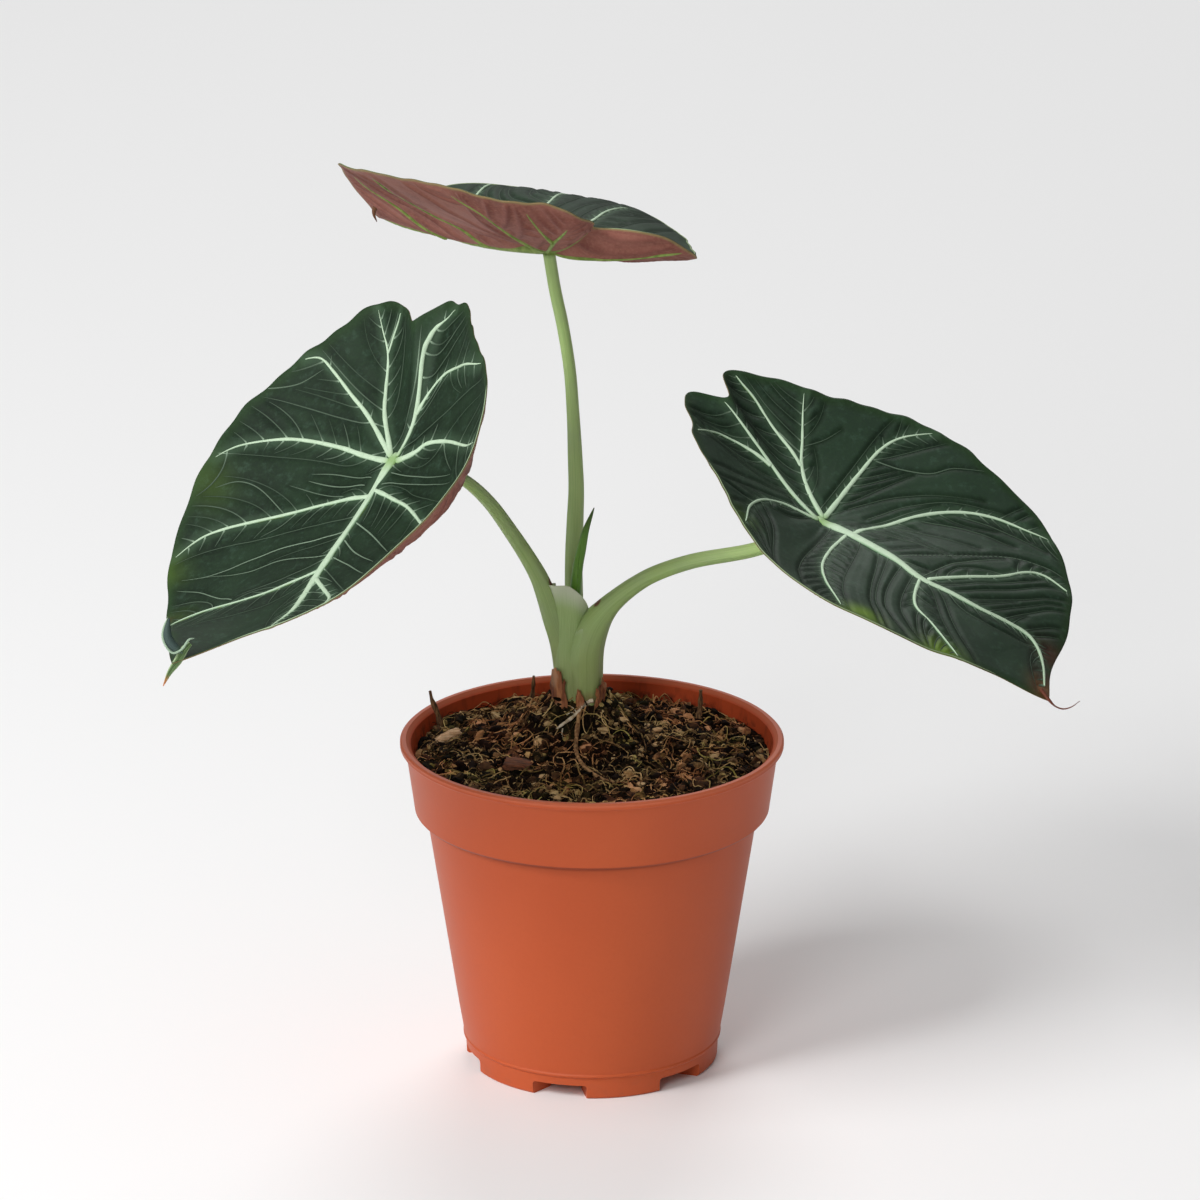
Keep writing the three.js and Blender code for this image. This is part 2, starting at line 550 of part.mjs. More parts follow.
const topBody = topStem(0).subtract(underLeaf(TOP_LEAF));
const spikeBody = newLeaf(0).subtract(topStem(GAP));
const inner = topStem(GAP).add(newLeaf(GAP));
const leftBody = leftStem(0).subtract(inner).subtract(underLeaf(LEFT_LEAF));
const rightBody = rightStem(0).subtract(inner).subtract(leftStem(GAP))
  .subtract(underLeaf(RIGHT_LEAF));
place('petiole_top', topBody, STEM_COLOR, 0.55);
place('petiole_left', leftBody, STEM_COLOR, 0.55);
place('petiole_right', rightBody, STEM_COLOR, 0.55);
place('new_leaf', spikeBody, NEW_LEAF_COLOR, 0.5);
place('corm', corm(0), CORM_COLOR, 0.9);

const stems = inner.add(leftStem(GAP)).add(rightStem(GAP));
const stemsPlusScraps = topStem(GAP + SCRAP_T).add(leftStem(GAP + SCRAP_T))
  .add(rightStem(GAP + SCRAP_T));
let inMix = stems.add(corm(GAP));
for (const [name, [x, y, z, r]] of Object.entries(SCRAPS)) {
  const ball = (extra) => solid(new THREE.SphereGeometry(r + extra, 8, 6)
    .scale(1, 1, 1.6).translate(x, y, z));
  place(name, stemsPlusScraps.subtract(stems).intersect(ball(0)), SCRAP_COLOR, 0.9);
  inMix = inMix.add(ball(GAP).intersect(stemsPlusScraps));
}
for (const [name, path] of Object.entries(ROOTS)) {
  place(name, bar(path, 6, 10).subtract(inMix), ROOT_COLORS[name], 0.8);
  inMix = inMix.add(bar(path, 6, 10, GAP));
}
for (const [name, path] of Object.entries(TWIGS)) {
  place(name, bar(path, 6, 5), TWIG_COLOR, 0.9);
  inMix = inMix.add(bar(path, 6, 5, GAP));
}
for (const [name, row] of Object.entries(CHIPS)) {
  place(name, chip(row), row.color, 0.9);
  inMix = inMix.add(chip(row, GAP));
}

place('potting_mix', pottingMix(mixHeights()).subtract(inMix), MIX_COLOR, 1);
place('pot', pot(), POT_COLOR, 0.45);

export default group;
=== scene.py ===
import math
import random

import bmesh
import bpy
import numpy as np
from mathutils import Matrix, Vector, noise
from mathutils.kdtree import KDTree


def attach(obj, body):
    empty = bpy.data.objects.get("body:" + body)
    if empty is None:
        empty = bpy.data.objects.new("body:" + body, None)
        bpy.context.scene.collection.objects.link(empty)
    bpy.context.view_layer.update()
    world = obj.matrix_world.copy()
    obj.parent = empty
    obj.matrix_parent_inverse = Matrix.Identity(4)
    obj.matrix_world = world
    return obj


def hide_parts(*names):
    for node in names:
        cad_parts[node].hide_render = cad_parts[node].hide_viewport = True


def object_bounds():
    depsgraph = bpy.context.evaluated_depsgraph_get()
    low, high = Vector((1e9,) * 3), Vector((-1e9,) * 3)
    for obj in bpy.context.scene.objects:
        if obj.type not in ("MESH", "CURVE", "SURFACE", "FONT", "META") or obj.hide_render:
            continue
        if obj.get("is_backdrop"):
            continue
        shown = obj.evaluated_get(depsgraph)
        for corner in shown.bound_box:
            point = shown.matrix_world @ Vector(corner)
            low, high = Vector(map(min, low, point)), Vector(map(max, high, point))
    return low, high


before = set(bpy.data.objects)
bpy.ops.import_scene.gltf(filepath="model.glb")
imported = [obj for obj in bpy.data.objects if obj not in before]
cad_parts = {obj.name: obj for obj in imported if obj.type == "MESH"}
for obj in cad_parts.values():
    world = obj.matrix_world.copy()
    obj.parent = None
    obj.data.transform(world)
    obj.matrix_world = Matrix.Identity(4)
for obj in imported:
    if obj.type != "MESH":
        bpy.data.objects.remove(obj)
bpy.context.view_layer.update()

# ---- Camera, light and floor ---------------------------------------------------------------
# The plant is seen from a little above, from far off with a long lens, as in the photograph.
# The main soft light stands high at the front left. A weaker one by the camera fills the crown,
# and a wide one behind lightens the pale floor and the edges of the leaves.

SENSOR_WIDTH = 36
LENS_LENGTH = 219.4
CAMERA_PLACE = (0.00219, -1.8787, 0.7791)
CAMERA_LOOKS_DOWN = 19
LIGHTS_AIM = (0, 0, 0.13)
LIGHTS = [
    ("key_light", (-1.4, -0.95, 1.6), 0.9, 38),
    ("front_light", (-0.7, -1.8, 1.1), 0.8, 13),
    ("back_light", (0.2, 2.1, 2.2), 1.6, 30),
]
STUDIO_STRENGTH = 0.22
FLOOR_HALF = 12
FLOOR_GREY = 0.9
FLOOR_ROUGHNESS = 0.9

camera_data = bpy.data.cameras.new("camera")
camera_data.sensor_width = SENSOR_WIDTH
camera_data.lens = LENS_LENGTH
camera = bpy.data.objects.new("camera", camera_data)
camera.location = CAMERA_PLACE
camera.rotation_euler = (math.radians(90 - CAMERA_LOOKS_DOWN), 0, 0)
bpy.context.collection.objects.link(camera)
bpy.context.scene.camera = camera

for name, place, size, power in LIGHTS:
    light_data = bpy.data.lights.new(name, "AREA")
    light_data.shape = "DISK"
    light_data.size = size
    light_data.energy = power
    light = bpy.data.objects.new(name, light_data)
    light.location = place
    aim = Vector(LIGHTS_AIM) - Vector(place)
    light.rotation_euler = aim.to_track_quat("-Z", "Y").to_euler()
    bpy.context.collection.objects.link(light)

world = bpy.data.worlds.new("studio")
world.use_nodes = True
studio = world.node_tree.nodes["Background"].inputs
studio["Color"].default_value = (1, 1, 1, 1)
studio["Strength"].default_value = STUDIO_STRENGTH
bpy.context.scene.world = world
bpy.context.scene.view_settings.view_transform = "Standard"

floor_mesh = bpy.data.meshes.new("floor")
bm = bmesh.new()
bmesh.ops.create_grid(bm, x_segments=1, y_segments=1, size=FLOOR_HALF)
bm.to_mesh(floor_mesh)
bm.free()
floor = bpy.data.objects.new("floor", floor_mesh)
bpy.context.collection.objects.link(floor)
floor_finish = bpy.data.materials.new("pale_floor")
floor_finish.use_nodes = True
floor_sockets = floor_finish.node_tree.nodes["Principled BSDF"].inputs
floor_sockets["Base Color"].default_value = (FLOOR_GREY, FLOOR_GREY, FLOOR_GREY, 1)
floor_sockets["Roughness"].default_value = FLOOR_ROUGHNESS
floor_mesh.materials.append(floor_finish)
floor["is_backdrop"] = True

# ---- Nursery pot ---------------------------------------------------------------------------
# A thin round pot moulded in one piece from terracotta-coloured polypropylene. It has a small
# rolled lip, a deep collar that steps in to a tapered body, a ledge above the foot, and a foot
# ring with six openings. The satin surface has faint flow clouds, scuffs and some dust.

MM = 0.001
# Radius and height in millimetres: the base pad, the foot ring with its ledge bead, the body,
# the collar and the lip, then down the inside.
POT_PROFILE = [
    (0, 0), (9.4, 0), (10, 0.6), (10, 3), (27.4, 3), (27.6, 0.4), (28, 0), (34.2, 0), (34.7, 0.5),
    (35, 6), (35.6, 6.6), (35.65, 7), (35.45, 7.4), (36.75, 15.1), (45.4, 71.4), (46, 72.2),
    (48, 72.2), (48.6, 72.9), (50.9, 89.6), (51.3, 90.3), (52.2, 90.6), (52.5, 91), (52.5, 92),
    (52, 92.5), (50.9, 92.5), (49.6, 91.3), (47.2, 73.9), (44, 71.3), (34.1, 6.4), (32.9, 4.4),
    (0, 4.4),
]
POT_STEPS = 180
POT_SHARP = 28
POT_NOTCHES = 6
POT_NOTCH_TURN = -15
POT_NOTCH_SIZE = (13.8, 22.5, 7.8)
POT_NOTCH_NARROWS = 0.38
POT_NOTCH_ROUND = 0.9
POT_NOTCH_R = 34.1
POT_DRAIN_R = 4
POT_DRAIN_AT = (23, 0, 3.7)
POT_DRAIN_DEPTH = 6
# Heights and radii in metres where the pot's finish changes, with its painted highlight and painted
# shade.
POT_LIP_HIGHLIGHT_UP = (0.0912, 0.0921)
POT_COLLAR_SHADE_UP = (0.0704, 0.0714)
POT_COLLAR_SHADE_ENDS = (0.0731, 0.0725)
POT_INNER_SLOPE = 0.138
POT_INNER_R = (0.0379, 0.0376)
POT_INNER_FROM = (0.0735, 0.0742)
POT_INNER_TO = (0.0919, 0.0912)
POT_DIRT_TO = (0.0905, 0.0865)
POT_FOOT_TO = (0.008, 0.001)


def srgb(red, green, blue):
    """A colour as seen on a screen, 0 to 255, as the light values that a shader takes."""
    share = [value / 255 for value in (red, green, blue)]
    return (*[v / 12.92 if v <= 0.04045 else ((v + 0.055) / 1.055) ** 2.4 for v in share], 1)


class Wire:
    """One output in a finish's node tree. Arithmetic on wires adds Math nodes."""

    def __init__(self, tree, socket):
        self.tree = tree
        self.socket = socket

    def node(self, kind, settings=None, inputs=None, output=0):
        """Adds a node: its settings first, then a value or a wire for each named socket."""
        made = self.tree.nodes.new(kind)
        for name, value in (settings or {}).items():
            if name == "stops":
                ramp = made.color_ramp.elements
                ramp[0].position, ramp[0].color = value[0]
                ramp[1].position, ramp[1].color = value[-1]
                for place, color in value[1:-1]:
                    ramp.new(place).color = color
            else:
                setattr(made, name, value)
        for name, value in (inputs or {}).items():
            if isinstance(value, Wire):
                self.tree.links.new(value.socket, made.inputs[name])
            else:
                made.inputs[name].default_value = value
        return Wire(self.tree, made.outputs[output])

    def math(self, operation, *others):
        inputs = dict(enumerate((self, *others)))
        return self.node("ShaderNodeMath", {"operation": operation}, inputs)

    def vector(self, operation, *others, output=0):
        inputs = dict(enumerate((self, *others)))
        return self.node("ShaderNodeVectorMath", {"operation": operation}, inputs, output)

    def part(self, which):
        """The x, y or z of a vector: which is 0, 1 or 2."""
        return self.node("ShaderNodeSeparateXYZ", None, {"Vector": self}, which)

    def __add__(self, other):
        return self.math("ADD", other)

    def __radd__(self, other):
        return self.math("ADD", other)

    def __sub__(self, other):
        return self.math("SUBTRACT", other)

    def __rsub__(self, other):
        return (self * -1).math("ADD", other)

    def __mul__(self, other):
        return self.math("MULTIPLY", other)

    def __rmul__(self, other):
        return self.math("MULTIPLY", other)

    def rises(self, low, high):
        """0 below low, 1 above high, and a smooth step between them. Low may be the larger."""
        settings = {"interpolation_type": "SMOOTHSTEP"}
        flip = low > high
        span = {"From Min": min(low, high), "From Max": max(low, high)}
        step = self.node("ShaderNodeMapRange", settings, {"Value": self, **span})
        return 1 - step if flip else step

    def blend(self, first, second):
        """A colour between two, by this wire as the share of the second."""
        inputs = {0: self, 6: first, 7: second}
        return self.node("ShaderNodeMix", {"data_type": "RGBA"}, inputs, 2)

    def noise(self, scale, detail, stretch=(1, 1, 1), roughness=0.5):
        """Cloudy values, about 0.5, over this wire's coordinates in metres."""
        place = self.node("ShaderNodeMapping", None, {"Vector": self, "Scale": stretch})
        inputs = {"Vector": place, "Scale": scale, "Detail": detail, "Roughness": roughness}
        return self.node("ShaderNodeTexNoise", None, inputs)

    def attribute(self, name):
        """A number that each point of the mesh holds under this name."""
        return self.node("ShaderNodeAttribute", {"attribute_name": name}, None, 2)


def finish(name, **fixed):
    """A new material. Gives it, its shader's sockets and its object coordinates as a wire."""
    made = bpy.data.materials.new(name)
    made.use_nodes = True
    tree = made.node_tree
    sockets = tree.nodes["Principled BSDF"].inputs
    for socket, value in fixed.items():
        sockets[socket.replace("_", " ")].default_value = value
    place = Wire(tree, None).node("ShaderNodeTexCoord", None, None, 3)
    return made, sockets, place


def feed(sockets, **wires):
    """Links a wire to each named socket of the shader."""
    for name, wire in wires.items():
        wire.tree.links.new(wire.socket, sockets[name.replace("_", " ")])


def bumps(height, depth, strength):
    """Normals for a surface that rises by height, from 0 to 1, times depth in metres."""
    inputs = {"Height": height, "Distance": depth, "Strength": strength}
    return height.node("ShaderNodeBump", None, inputs)


def piece(name, bm, material, replaced=(), sharp=0):
    """Makes a finished mesh a piece of the object that rides on its one body. Edges that turn
    by more than sharp degrees look sharp, and with 0 all are smooth."""
    mesh = bpy.data.meshes.new(name)
    bmesh.ops.recalc_face_normals(bm, faces=bm.faces[:])
    bm.to_mesh(mesh)
    bm.free()
    mesh.materials.append(material)
    mesh.shade_smooth()
    if sharp:
        mesh.set_sharp_from_angle(angle=math.radians(sharp))
    made = bpy.data.objects.new(name, mesh)
    bpy.context.collection.objects.link(made)
    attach(made, "root")
    if replaced:
        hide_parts(*replaced)
    return made


def turned(profile, steps):
    """A solid of revolution about the upright axis, from rows of radius and height."""
    bm = bmesh.new()
    line = [bm.verts.new((r * MM, 0, z * MM)) for r, z in profile]
    edges = [bm.edges.new(pair) for pair in zip(line, line[1:])]
    bmesh.ops.spin(
        bm, geom=line + edges, axis=(0, 0, 1), angle=2 * math.pi, steps=steps, use_merge=True,
    )
    bmesh.ops.remove_doubles(bm, verts=bm.verts[:], dist=1e-6)
    bmesh.ops.dissolve_degenerate(bm, edges=bm.edges[:], dist=1e-6)
    bmesh.ops.recalc_face_normals(bm, faces=bm.faces[:])
    return bm


def pot_finish():
    """Satin terracotta with a painted highlight on the lip, painted shade under the collar, painted
    light on the inner wall, and dirt on the inside.
    """
    made, sockets, place = finish("terracotta_plastic", Specular_IOR_Level=0.22)
    clouds = place.noise(16, 3, (1, 1, 0.6))
    grain = place.noise(900, 3)
    up = place.part(2)
    radius = place.vector("MULTIPLY", (1, 1, 0)).vector("LENGTH", output=1)
    color = clouds.rises(0.3, 0.7).blend(srgb(181, 80, 43), srgb(187, 86, 47))
    color = (grain.rises(0.4, 0.75) * 0.12).blend(color, srgb(170, 74, 42))
    scuffs = place.noise(70, 6, (1, 1, 3), 0.7).rises(0.66, 0.8)
    color = (scuffs * 0.12).blend(color, srgb(206, 122, 88))
    # Painted highlight: the top of the lip is painted paler pink.
    color = (up.rises(*POT_LIP_HIGHLIGHT_UP) * 0.35).blend(color, srgb(214, 128, 98))
    # Painted shade: a dark band just under the collar's ledge.
    painted_collar_shade = up.rises(*POT_COLLAR_SHADE_UP) * up.rises(*POT_COLLAR_SHADE_ENDS)
    color = (painted_collar_shade * 0.6).blend(color, srgb(104, 40, 24))
    inside = (radius - up * POT_INNER_SLOPE).rises(*POT_INNER_R)
    inside = inside * up.rises(*POT_INNER_FROM) * up.rises(*POT_INNER_TO)
    # Painted light: the inner wall above the mix is painted brighter and redder, as light coming
    # through the thin wall makes it look.
    color = (inside * 0.7).blend(color, srgb(196, 78, 42))
    drips = place.noise(420, 4, (1, 1, 0.25)).rises(0.5, 0.7) * inside
    color = (drips * 0.3).blend(color, srgb(92, 40, 26))
    dirt = place.noise(240, 6, (1, 1, 1), 0.65).rises(0.5, 0.64) * inside * up.rises(*POT_DIRT_TO)
    color = (dirt * 0.9).blend(color, srgb(40, 27, 20))
    dusty_foot = up.rises(*POT_FOOT_TO) * place.noise(300, 5).rises(0.5, 0.7)
    color = (dusty_foot * 0.2).blend(color, srgb(150, 84, 60))
    feed(sockets, Base_Color=color, Roughness=0.42 + clouds * 0.06 + scuffs * 0.1 + dirt * 0.4)
    feed(sockets, Normal=bumps(grain * 0.4 + place.noise(140, 2) * 0.6, 0.00006, 0.5))
    return made


pot = piece("nursery_pot", turned(POT_PROFILE, POT_STEPS), pot_finish(), ["pot"])

# The notches are cut through the foot ring by tapered blocks with rounded edges, which are
# narrower towards the axis. A round drain hole lies between each two of them.
cutter_bm = bmesh.new()
for i in range(POT_NOTCHES):
    turn = math.radians(POT_NOTCH_TURN + 360 / POT_NOTCHES * i - 90)
    notch = bmesh.ops.create_cube(cutter_bm, size=1)["verts"]
    bmesh.ops.scale(cutter_bm, vec=[side * MM for side in POT_NOTCH_SIZE], verts=notch)
    inner = [v for v in notch if v.co.x < 0]
    bmesh.ops.scale(cutter_bm, vec=(1, POT_NOTCH_NARROWS, 1), verts=inner)
    edges = {e for v in notch for e in v.link_edges}
    outwards = [e for e in edges if abs(e.verts[0].co.x - e.verts[1].co.x) > MM]
    rounded = bmesh.ops.bevel(
        cutter_bm, geom=outwards, offset=POT_NOTCH_ROUND * MM, segments=3, affect="EDGES",
        profile=0.5, material=-1,
    )["verts"]
    notch = list({v for v in notch if v.is_valid} | set(rounded))
    bmesh.ops.translate(cutter_bm, vec=(POT_NOTCH_R * MM, 0, 0), verts=notch)
    bmesh.ops.rotate(cutter_bm, cent=(0, 0, 0), matrix=Matrix.Rotation(turn, 3, "Z"), verts=notch)
    drain = bmesh.ops.create_cone(
        cutter_bm, cap_ends=True, segments=36, radius1=POT_DRAIN_R * MM, radius2=POT_DRAIN_R * MM,
        depth=POT_DRAIN_DEPTH * MM,
    )["verts"]
    bmesh.ops.translate(cutter_bm, vec=[place * MM for place in POT_DRAIN_AT], verts=drain)
    turn += math.pi / POT_NOTCHES
    bmesh.ops.rotate(cutter_bm, cent=(0, 0, 0), matrix=Matrix.Rotation(turn, 3, "Z"), verts=drain)
cutter_mesh = bpy.data.meshes.new("pot_cuts")
cutter_bm.to_mesh(cutter_mesh)
cutter_bm.free()
cutter = bpy.data.objects.new("pot_cuts", cutter_mesh)
bpy.context.collection.objects.link(cutter)
cut = pot.modifiers.new("cuts", "BOOLEAN")
cut.operation = "DIFFERENCE"
cut.solver = "EXACT"
cut.object = cutter
cut_mesh = bpy.data.meshes.new_from_object(pot.evaluated_get(bpy.context.evaluated_depsgraph_get()))
pot.modifiers.clear()
pot.data = cut_mesh
cut_mesh.name = "nursery_pot"
cut_mesh.shade_smooth()
cut_mesh.set_sharp_from_angle(angle=math.radians(POT_SHARP))
bpy.data.objects.remove(cutter)
bpy.data.meshes.remove(cutter_mesh)

# ---- Potting mix ---------------------------------------------------------------------------
# Damp peat with bark, coir fibre and some moss, heaped round the plant and loose on top. The
# body is one lumpy solid that fills the pot. Crumbs and fibres lie on it, each drawn at random.

# Sizes in millimetres. The heap and the crown are humps about the stems, the lumps are noise of
# some height, size and layer, and the surface dips near the wall of the pot.
CROWN = (-3.8, 8.0)
MIX_EDGE_Z = 87.5
MIX_HEAP = 10
MIX_HEAP_R = 20
MIX_CROWN = 9
MIX_LUMPS = [(1.8, 11, 0), (1.5, 5, 3.1), (0.9, 2.3, 7.7)]
MIX_DIP = 0.6
MIX_DIP_FROM = 44
MIX_DIP_OVER = 5
MIX_R = 49.0
MIX_CELLS = 150
MIX_UNDER = [(48.4, 84), (47.0, 75), (43.4, 71), (34.2, 8), (32.5, 5.0)]
MIX_WARMTH = (1.2, 0.86, 0.84)


def cloud(x, y, size, layer):
    """Smooth noise from -1 to 1 over a plane, in lumps of about this size. Each layer differs."""
    return noise.noise((x / size, y / size, layer))


def mix_height(x, y):
    """How high the mix stands at a place."""
    away = math.hypot(x - CROWN[0], y - CROWN[1]) / MIX_HEAP_R
    z = MIX_EDGE_Z + MIX_HEAP * math.exp(-away * away) + MIX_CROWN * math.exp(-4 * away * away)
    z += sum(high * cloud(x, y, size, layer) for high, size, layer in MIX_LUMPS)
    by_wall = max(0.0, math.hypot(x, y) - MIX_DIP_FROM) / MIX_DIP_OVER
    return z - MIX_DIP * by_wall


def mossy(x, y):
    """How much moss grows at a place, 0 to 1."""
    return min(1, max(0, 0.2 + 1.6 * cloud(x, y, 12, 20.0) + 1.1 * cloud(x, y, 3, 24.0)))


def disc(x, y):
    """Maps a square from -1 to 1 on to a round disc of the same size, with even cells."""
    return x * np.sqrt(1 - y * y / 2), y * np.sqrt(1 - x * x / 2)


def mix_finish(name, light, moss_light):
    """Peat and bark from near black to light, by tone, and moss over it where moss grows."""
    made, sockets, place = finish(name, Specular_IOR_Level=0.08)
    tone = place.attribute("tone")
    moss = place.attribute("moss")
    fine = place.noise(900, 4)
    shade = tone + (fine - 0.5) * 0.55
    stops = [(0, srgb(12, 8, 5)), (0.32, srgb(30, 20, 14)), (0.58, srgb(84, 62, 42))]
    stops += [(0.78, srgb(158, 128, 84)), (1, srgb(*light))]
    color = shade.node("ShaderNodeValToRGB", {"stops": stops}, {"Fac": shade})
    color = place.noise(70, 2).rises(0.45, 0.62).blend(color, color.vector("MULTIPLY", MIX_WARMTH))
    stops = [(0, srgb(14, 14, 7)), (0.5, srgb(66, 62, 30)), (1, srgb(*moss_light))]
    green = shade.node("ShaderNodeValToRGB", {"stops": stops}, {"Fac": shade})
    feed(sockets, Base_Color=(moss * 0.85).blend(color, green), Roughness=0.95 - tone * 0.15)
    feed(sockets, Normal=bumps(fine * 0.6 + place.noise(2600, 3) * 0.4, 0.0003, 0.8))
    return made


def set_values(mesh, name, values):
    """Gives each point of a mesh a number that its finish reads by this name."""
    mesh.attributes.new(name, "FLOAT", "POINT").data.foreach_set("value", values)


mix_bm = bmesh.new()
bmesh.ops.create_grid(mix_bm, x_segments=MIX_CELLS, y_segments=MIX_CELLS, size=1)
for vert in mix_bm.verts:
    x, y = disc(np.float64(vert.co.x), np.float64(vert.co.y))
    vert.co = (x * MIX_R, y * MIX_R, mix_height(x * MIX_R, y * MIX_R))
rim = [edge for edge in mix_bm.edges if edge.is_boundary]
for radius, height in MIX_UNDER:
    ring = bmesh.ops.extrude_edge_only(mix_bm, edges=rim)["geom"]
    rim = [item for item in ring if isinstance(item, bmesh.types.BMEdge) and item.is_boundary]
    for vert in {vert for edge in rim for vert in edge.verts}:
        share = radius / math.hypot(vert.co.x, vert.co.y)
        vert.co = (vert.co.x * share, vert.co.y * share, height)
bmesh.ops.triangle_fill(mix_bm, edges=rim, use_beauty=True)
bmesh.ops.scale(mix_bm, vec=(MM, MM, MM), verts=mix_bm.verts[:])
peat = mix_finish("damp_peat", (150, 120, 82), (128, 124, 58))
mix = piece("potting_mix_body", mix_bm, peat, ["potting_mix"])
spots = [vert.co / MM for vert in mix.data.vertices]
tones = [0.2 + 0.34 * cloud(p.x, p.y, 1.6, 40) + 0.12 * cloud(p.x, p.y, 6, 44) for p in spots]
set_values(mix.data, "tone", tones)
set_values(mix.data, "moss", [mossy(p.x, p.y) * 0.7 for p in spots])

# The crumbs and fibres. Each is one small shape, drawn again in a place, size and tone of its
# own. They keep clear of the stems and of the two surface roots, which are made further down.

CRUMBS = 6400
CRUMB_SIZE = 0.36
CRUMB_GROWS = 1.3
CRUMB_ROUGH = 0.6
FIBRES = 1500
FIBRE_LENGTH = 3
FIBRE_GROWS = 10
FIBRE_THICK = (0.13, 0.3)
FIBRE_LIFT = (0.2, 1.9)
CLUMP_SIZE = 3.6
SCATTER_R = 47.5
FIBRE_SCATTER_R = 46.5
FIBRE_MOST_R = 48.2
ROOT_CLEARANCE = 1.5
CROWN_CLEARANCE = (6.5, 6)


def copies(bm, count):
    """Repeats a mesh in place up to count times. Gives the layer that numbers the copies."""
    layer = bm.verts.layers.int.new("copy")
    made = 1
    while made < count:
        again = bmesh.ops.duplicate(bm, geom=bm.verts[:] + bm.edges[:] + bm.faces[:])["geom"]
        for item in again:
            if isinstance(item, bmesh.types.BMVert):
                item[layer] += made
        made *= 2
    spare = [vert for vert in bm.verts if vert[layer] >= count]
    bmesh.ops.delete(bm, geom=spare, context="VERTS")
    return layer


ROOT_PATHS = {
    "pale": [
        (0.3, 1.2, 102.9, 0.75), (-2.3, 0.8, 101.9, 0.7), (-3.9, -1, 100, 0.62),
        (-8, -3.1, 97.4, 0.55), (-9.6, -3.5, 96.3, 0.35),
    ],
    "tan": [
        (-3.4, 0.4, 101.2, 0.85), (-3.7, -2, 98.8, 0.8), (-4.2, -7.9, 95.4, 0.75),
        (-4.2, -13.4, 93, 0.68), (-2.1, -19, 91.2, 0.62), (2.2, -22.4, 89, 0.55),
        (6.2, -23.7, 88.2, 0.4),
    ],
}
by_roots = []
for path in ROOT_PATHS.values():
    for (start_x, start_y, *_), (end_x, end_y, *_) in zip(path, path[1:]):
        for t in range(7):
            by_roots.append((start_x + (end_x - start_x) * t / 6, start_y + (end_y - start_y) * t / 6))


def spot_on_mix(reach):
    """A place on the mix within reach of the pot's axis, clear of the stems and the roots."""
    while True:
        r = reach * math.sqrt(draw.random())
        turn = 2 * math.pi * draw.random()
        x, y = r * math.cos(turn), r * math.sin(turn)
        clear = all(math.hypot(x - px, y - py) > ROOT_CLEARANCE for px, py in by_roots)
        wide, deep = CROWN_CLEARANCE
        if clear and math.hypot((x - CROWN[0]) / wide, (y - CROWN[1]) / deep) > 1:
            return x, y


def scattered(name, bm, count, draw_one, material):
    """Puts copies of a small shape on the mix. Draw_one gives for each the function that puts a
    point of the shape in its place, and the copy's tone and moss."""
    layer = copies(bm, count)
    draws = [draw_one() for _ in range(count)]
    tones, moss = [], []
    for vert in bm.verts:
        shape, tone, green = draws[vert[layer]]
        vert.co = shape(vert.co)
        tones.append(tone)
        moss.append(green)
    bmesh.ops.scale(bm, vec=(MM, MM, MM), verts=bm.verts[:])
    mesh = piece(name, bm, material, sharp=50).data
    set_values(mesh, "tone", tones)
    set_values(mesh, "moss", moss)
    mesh.attributes.remove(mesh.attributes["copy"])


draw = random.Random(11)


def draw_tone(dark, middle, light, weights):
    """One of three ranges of tone by weight, and a tone within it."""
    return draw.choices([draw.uniform(*tones) for tones in (dark, middle, light)], weights)[0]


def draw_crumb():
    x, y = spot_on_mix(SCATTER_R)
    size = CRUMB_SIZE + CRUMB_GROWS * draw.random() ** 4
    long, wide, high = (size * draw.uniform(*sizes) for sizes in ((0.9, 1.9), (0.7, 1.1), (0.45, 0.9)))
    tip_x, tip_y, turn_z = draw.uniform(-0.5, 0.5), draw.uniform(-0.5, 0.5), draw.uniform(0, 6.3)
    turn = Matrix.Rotation(turn_z, 3, "Z") @ Matrix.Rotation(tip_x, 3, "X")
    turn = turn @ Matrix.Rotation(tip_y, 3, "Y")
    at = Vector((x, y, mix_height(x, y) + size * 0.15))
    seed = draw.uniform(0, 90)
    tone = draw_tone((0.02, 0.3), (0.35, 0.65), (0.7, 1), (5, 3, 2.2))
    tone = max(0, tone + 0.5 * cloud(x, y, CLUMP_SIZE, 50.0))
    green = max(0, mossy(x, y) - draw.random() * 0.6)

    def shape(co):
        rough = 1 + CRUMB_ROUGH * noise.noise(co * 1.7 + Vector((seed, 0, 0)))
        return at + turn @ (Vector((co.x * long, co.y * wide, co.z * high)) * rough)

    return shape, tone, green


def draw_fibre():
    x, y = spot_on_mix(FIBRE_SCATTER_R)
    length = FIBRE_LENGTH + FIBRE_GROWS * draw.random() ** 2
    thick = draw.uniform(*FIBRE_THICK)
    turn = draw.uniform(0, 6.3)
    bend = draw.gauss(0, 2.2)
    lift = draw.uniform(*FIBRE_LIFT)
    wave = draw.uniform(0, 6.3)
    tone = draw_tone((0.1, 0.35), (0.5, 0.8), (0.85, 1.05), (3, 4, 2))
    tone = max(0.05, tone + 0.4 * cloud(x, y, CLUMP_SIZE, 50.0) + 0.04)
    green = max(0, mossy(x, y) - draw.random() * 0.8)

    def shape(co):
        share = co.x
        angle = turn + bend * share
        px = x + length * share * math.cos(angle)
        py = y + length * share * math.sin(angle)
        away = math.hypot(px, py)
        if away > FIBRE_MOST_R:
            px, py = px * FIBRE_MOST_R / away, py * FIBRE_MOST_R / away
        arch = lift * math.sin(math.pi * share) * (1 + 0.4 * math.sin(9 * share + wave))
        pz = mix_height(px, py) + 0.1 + arch
        taper = thick * (1 - 0.55 * share)
        px -= co.y * taper * math.sin(angle)
        py += co.y * taper * math.cos(angle)
        return Vector((px, py, pz + co.z * taper))

    return shape, tone, green


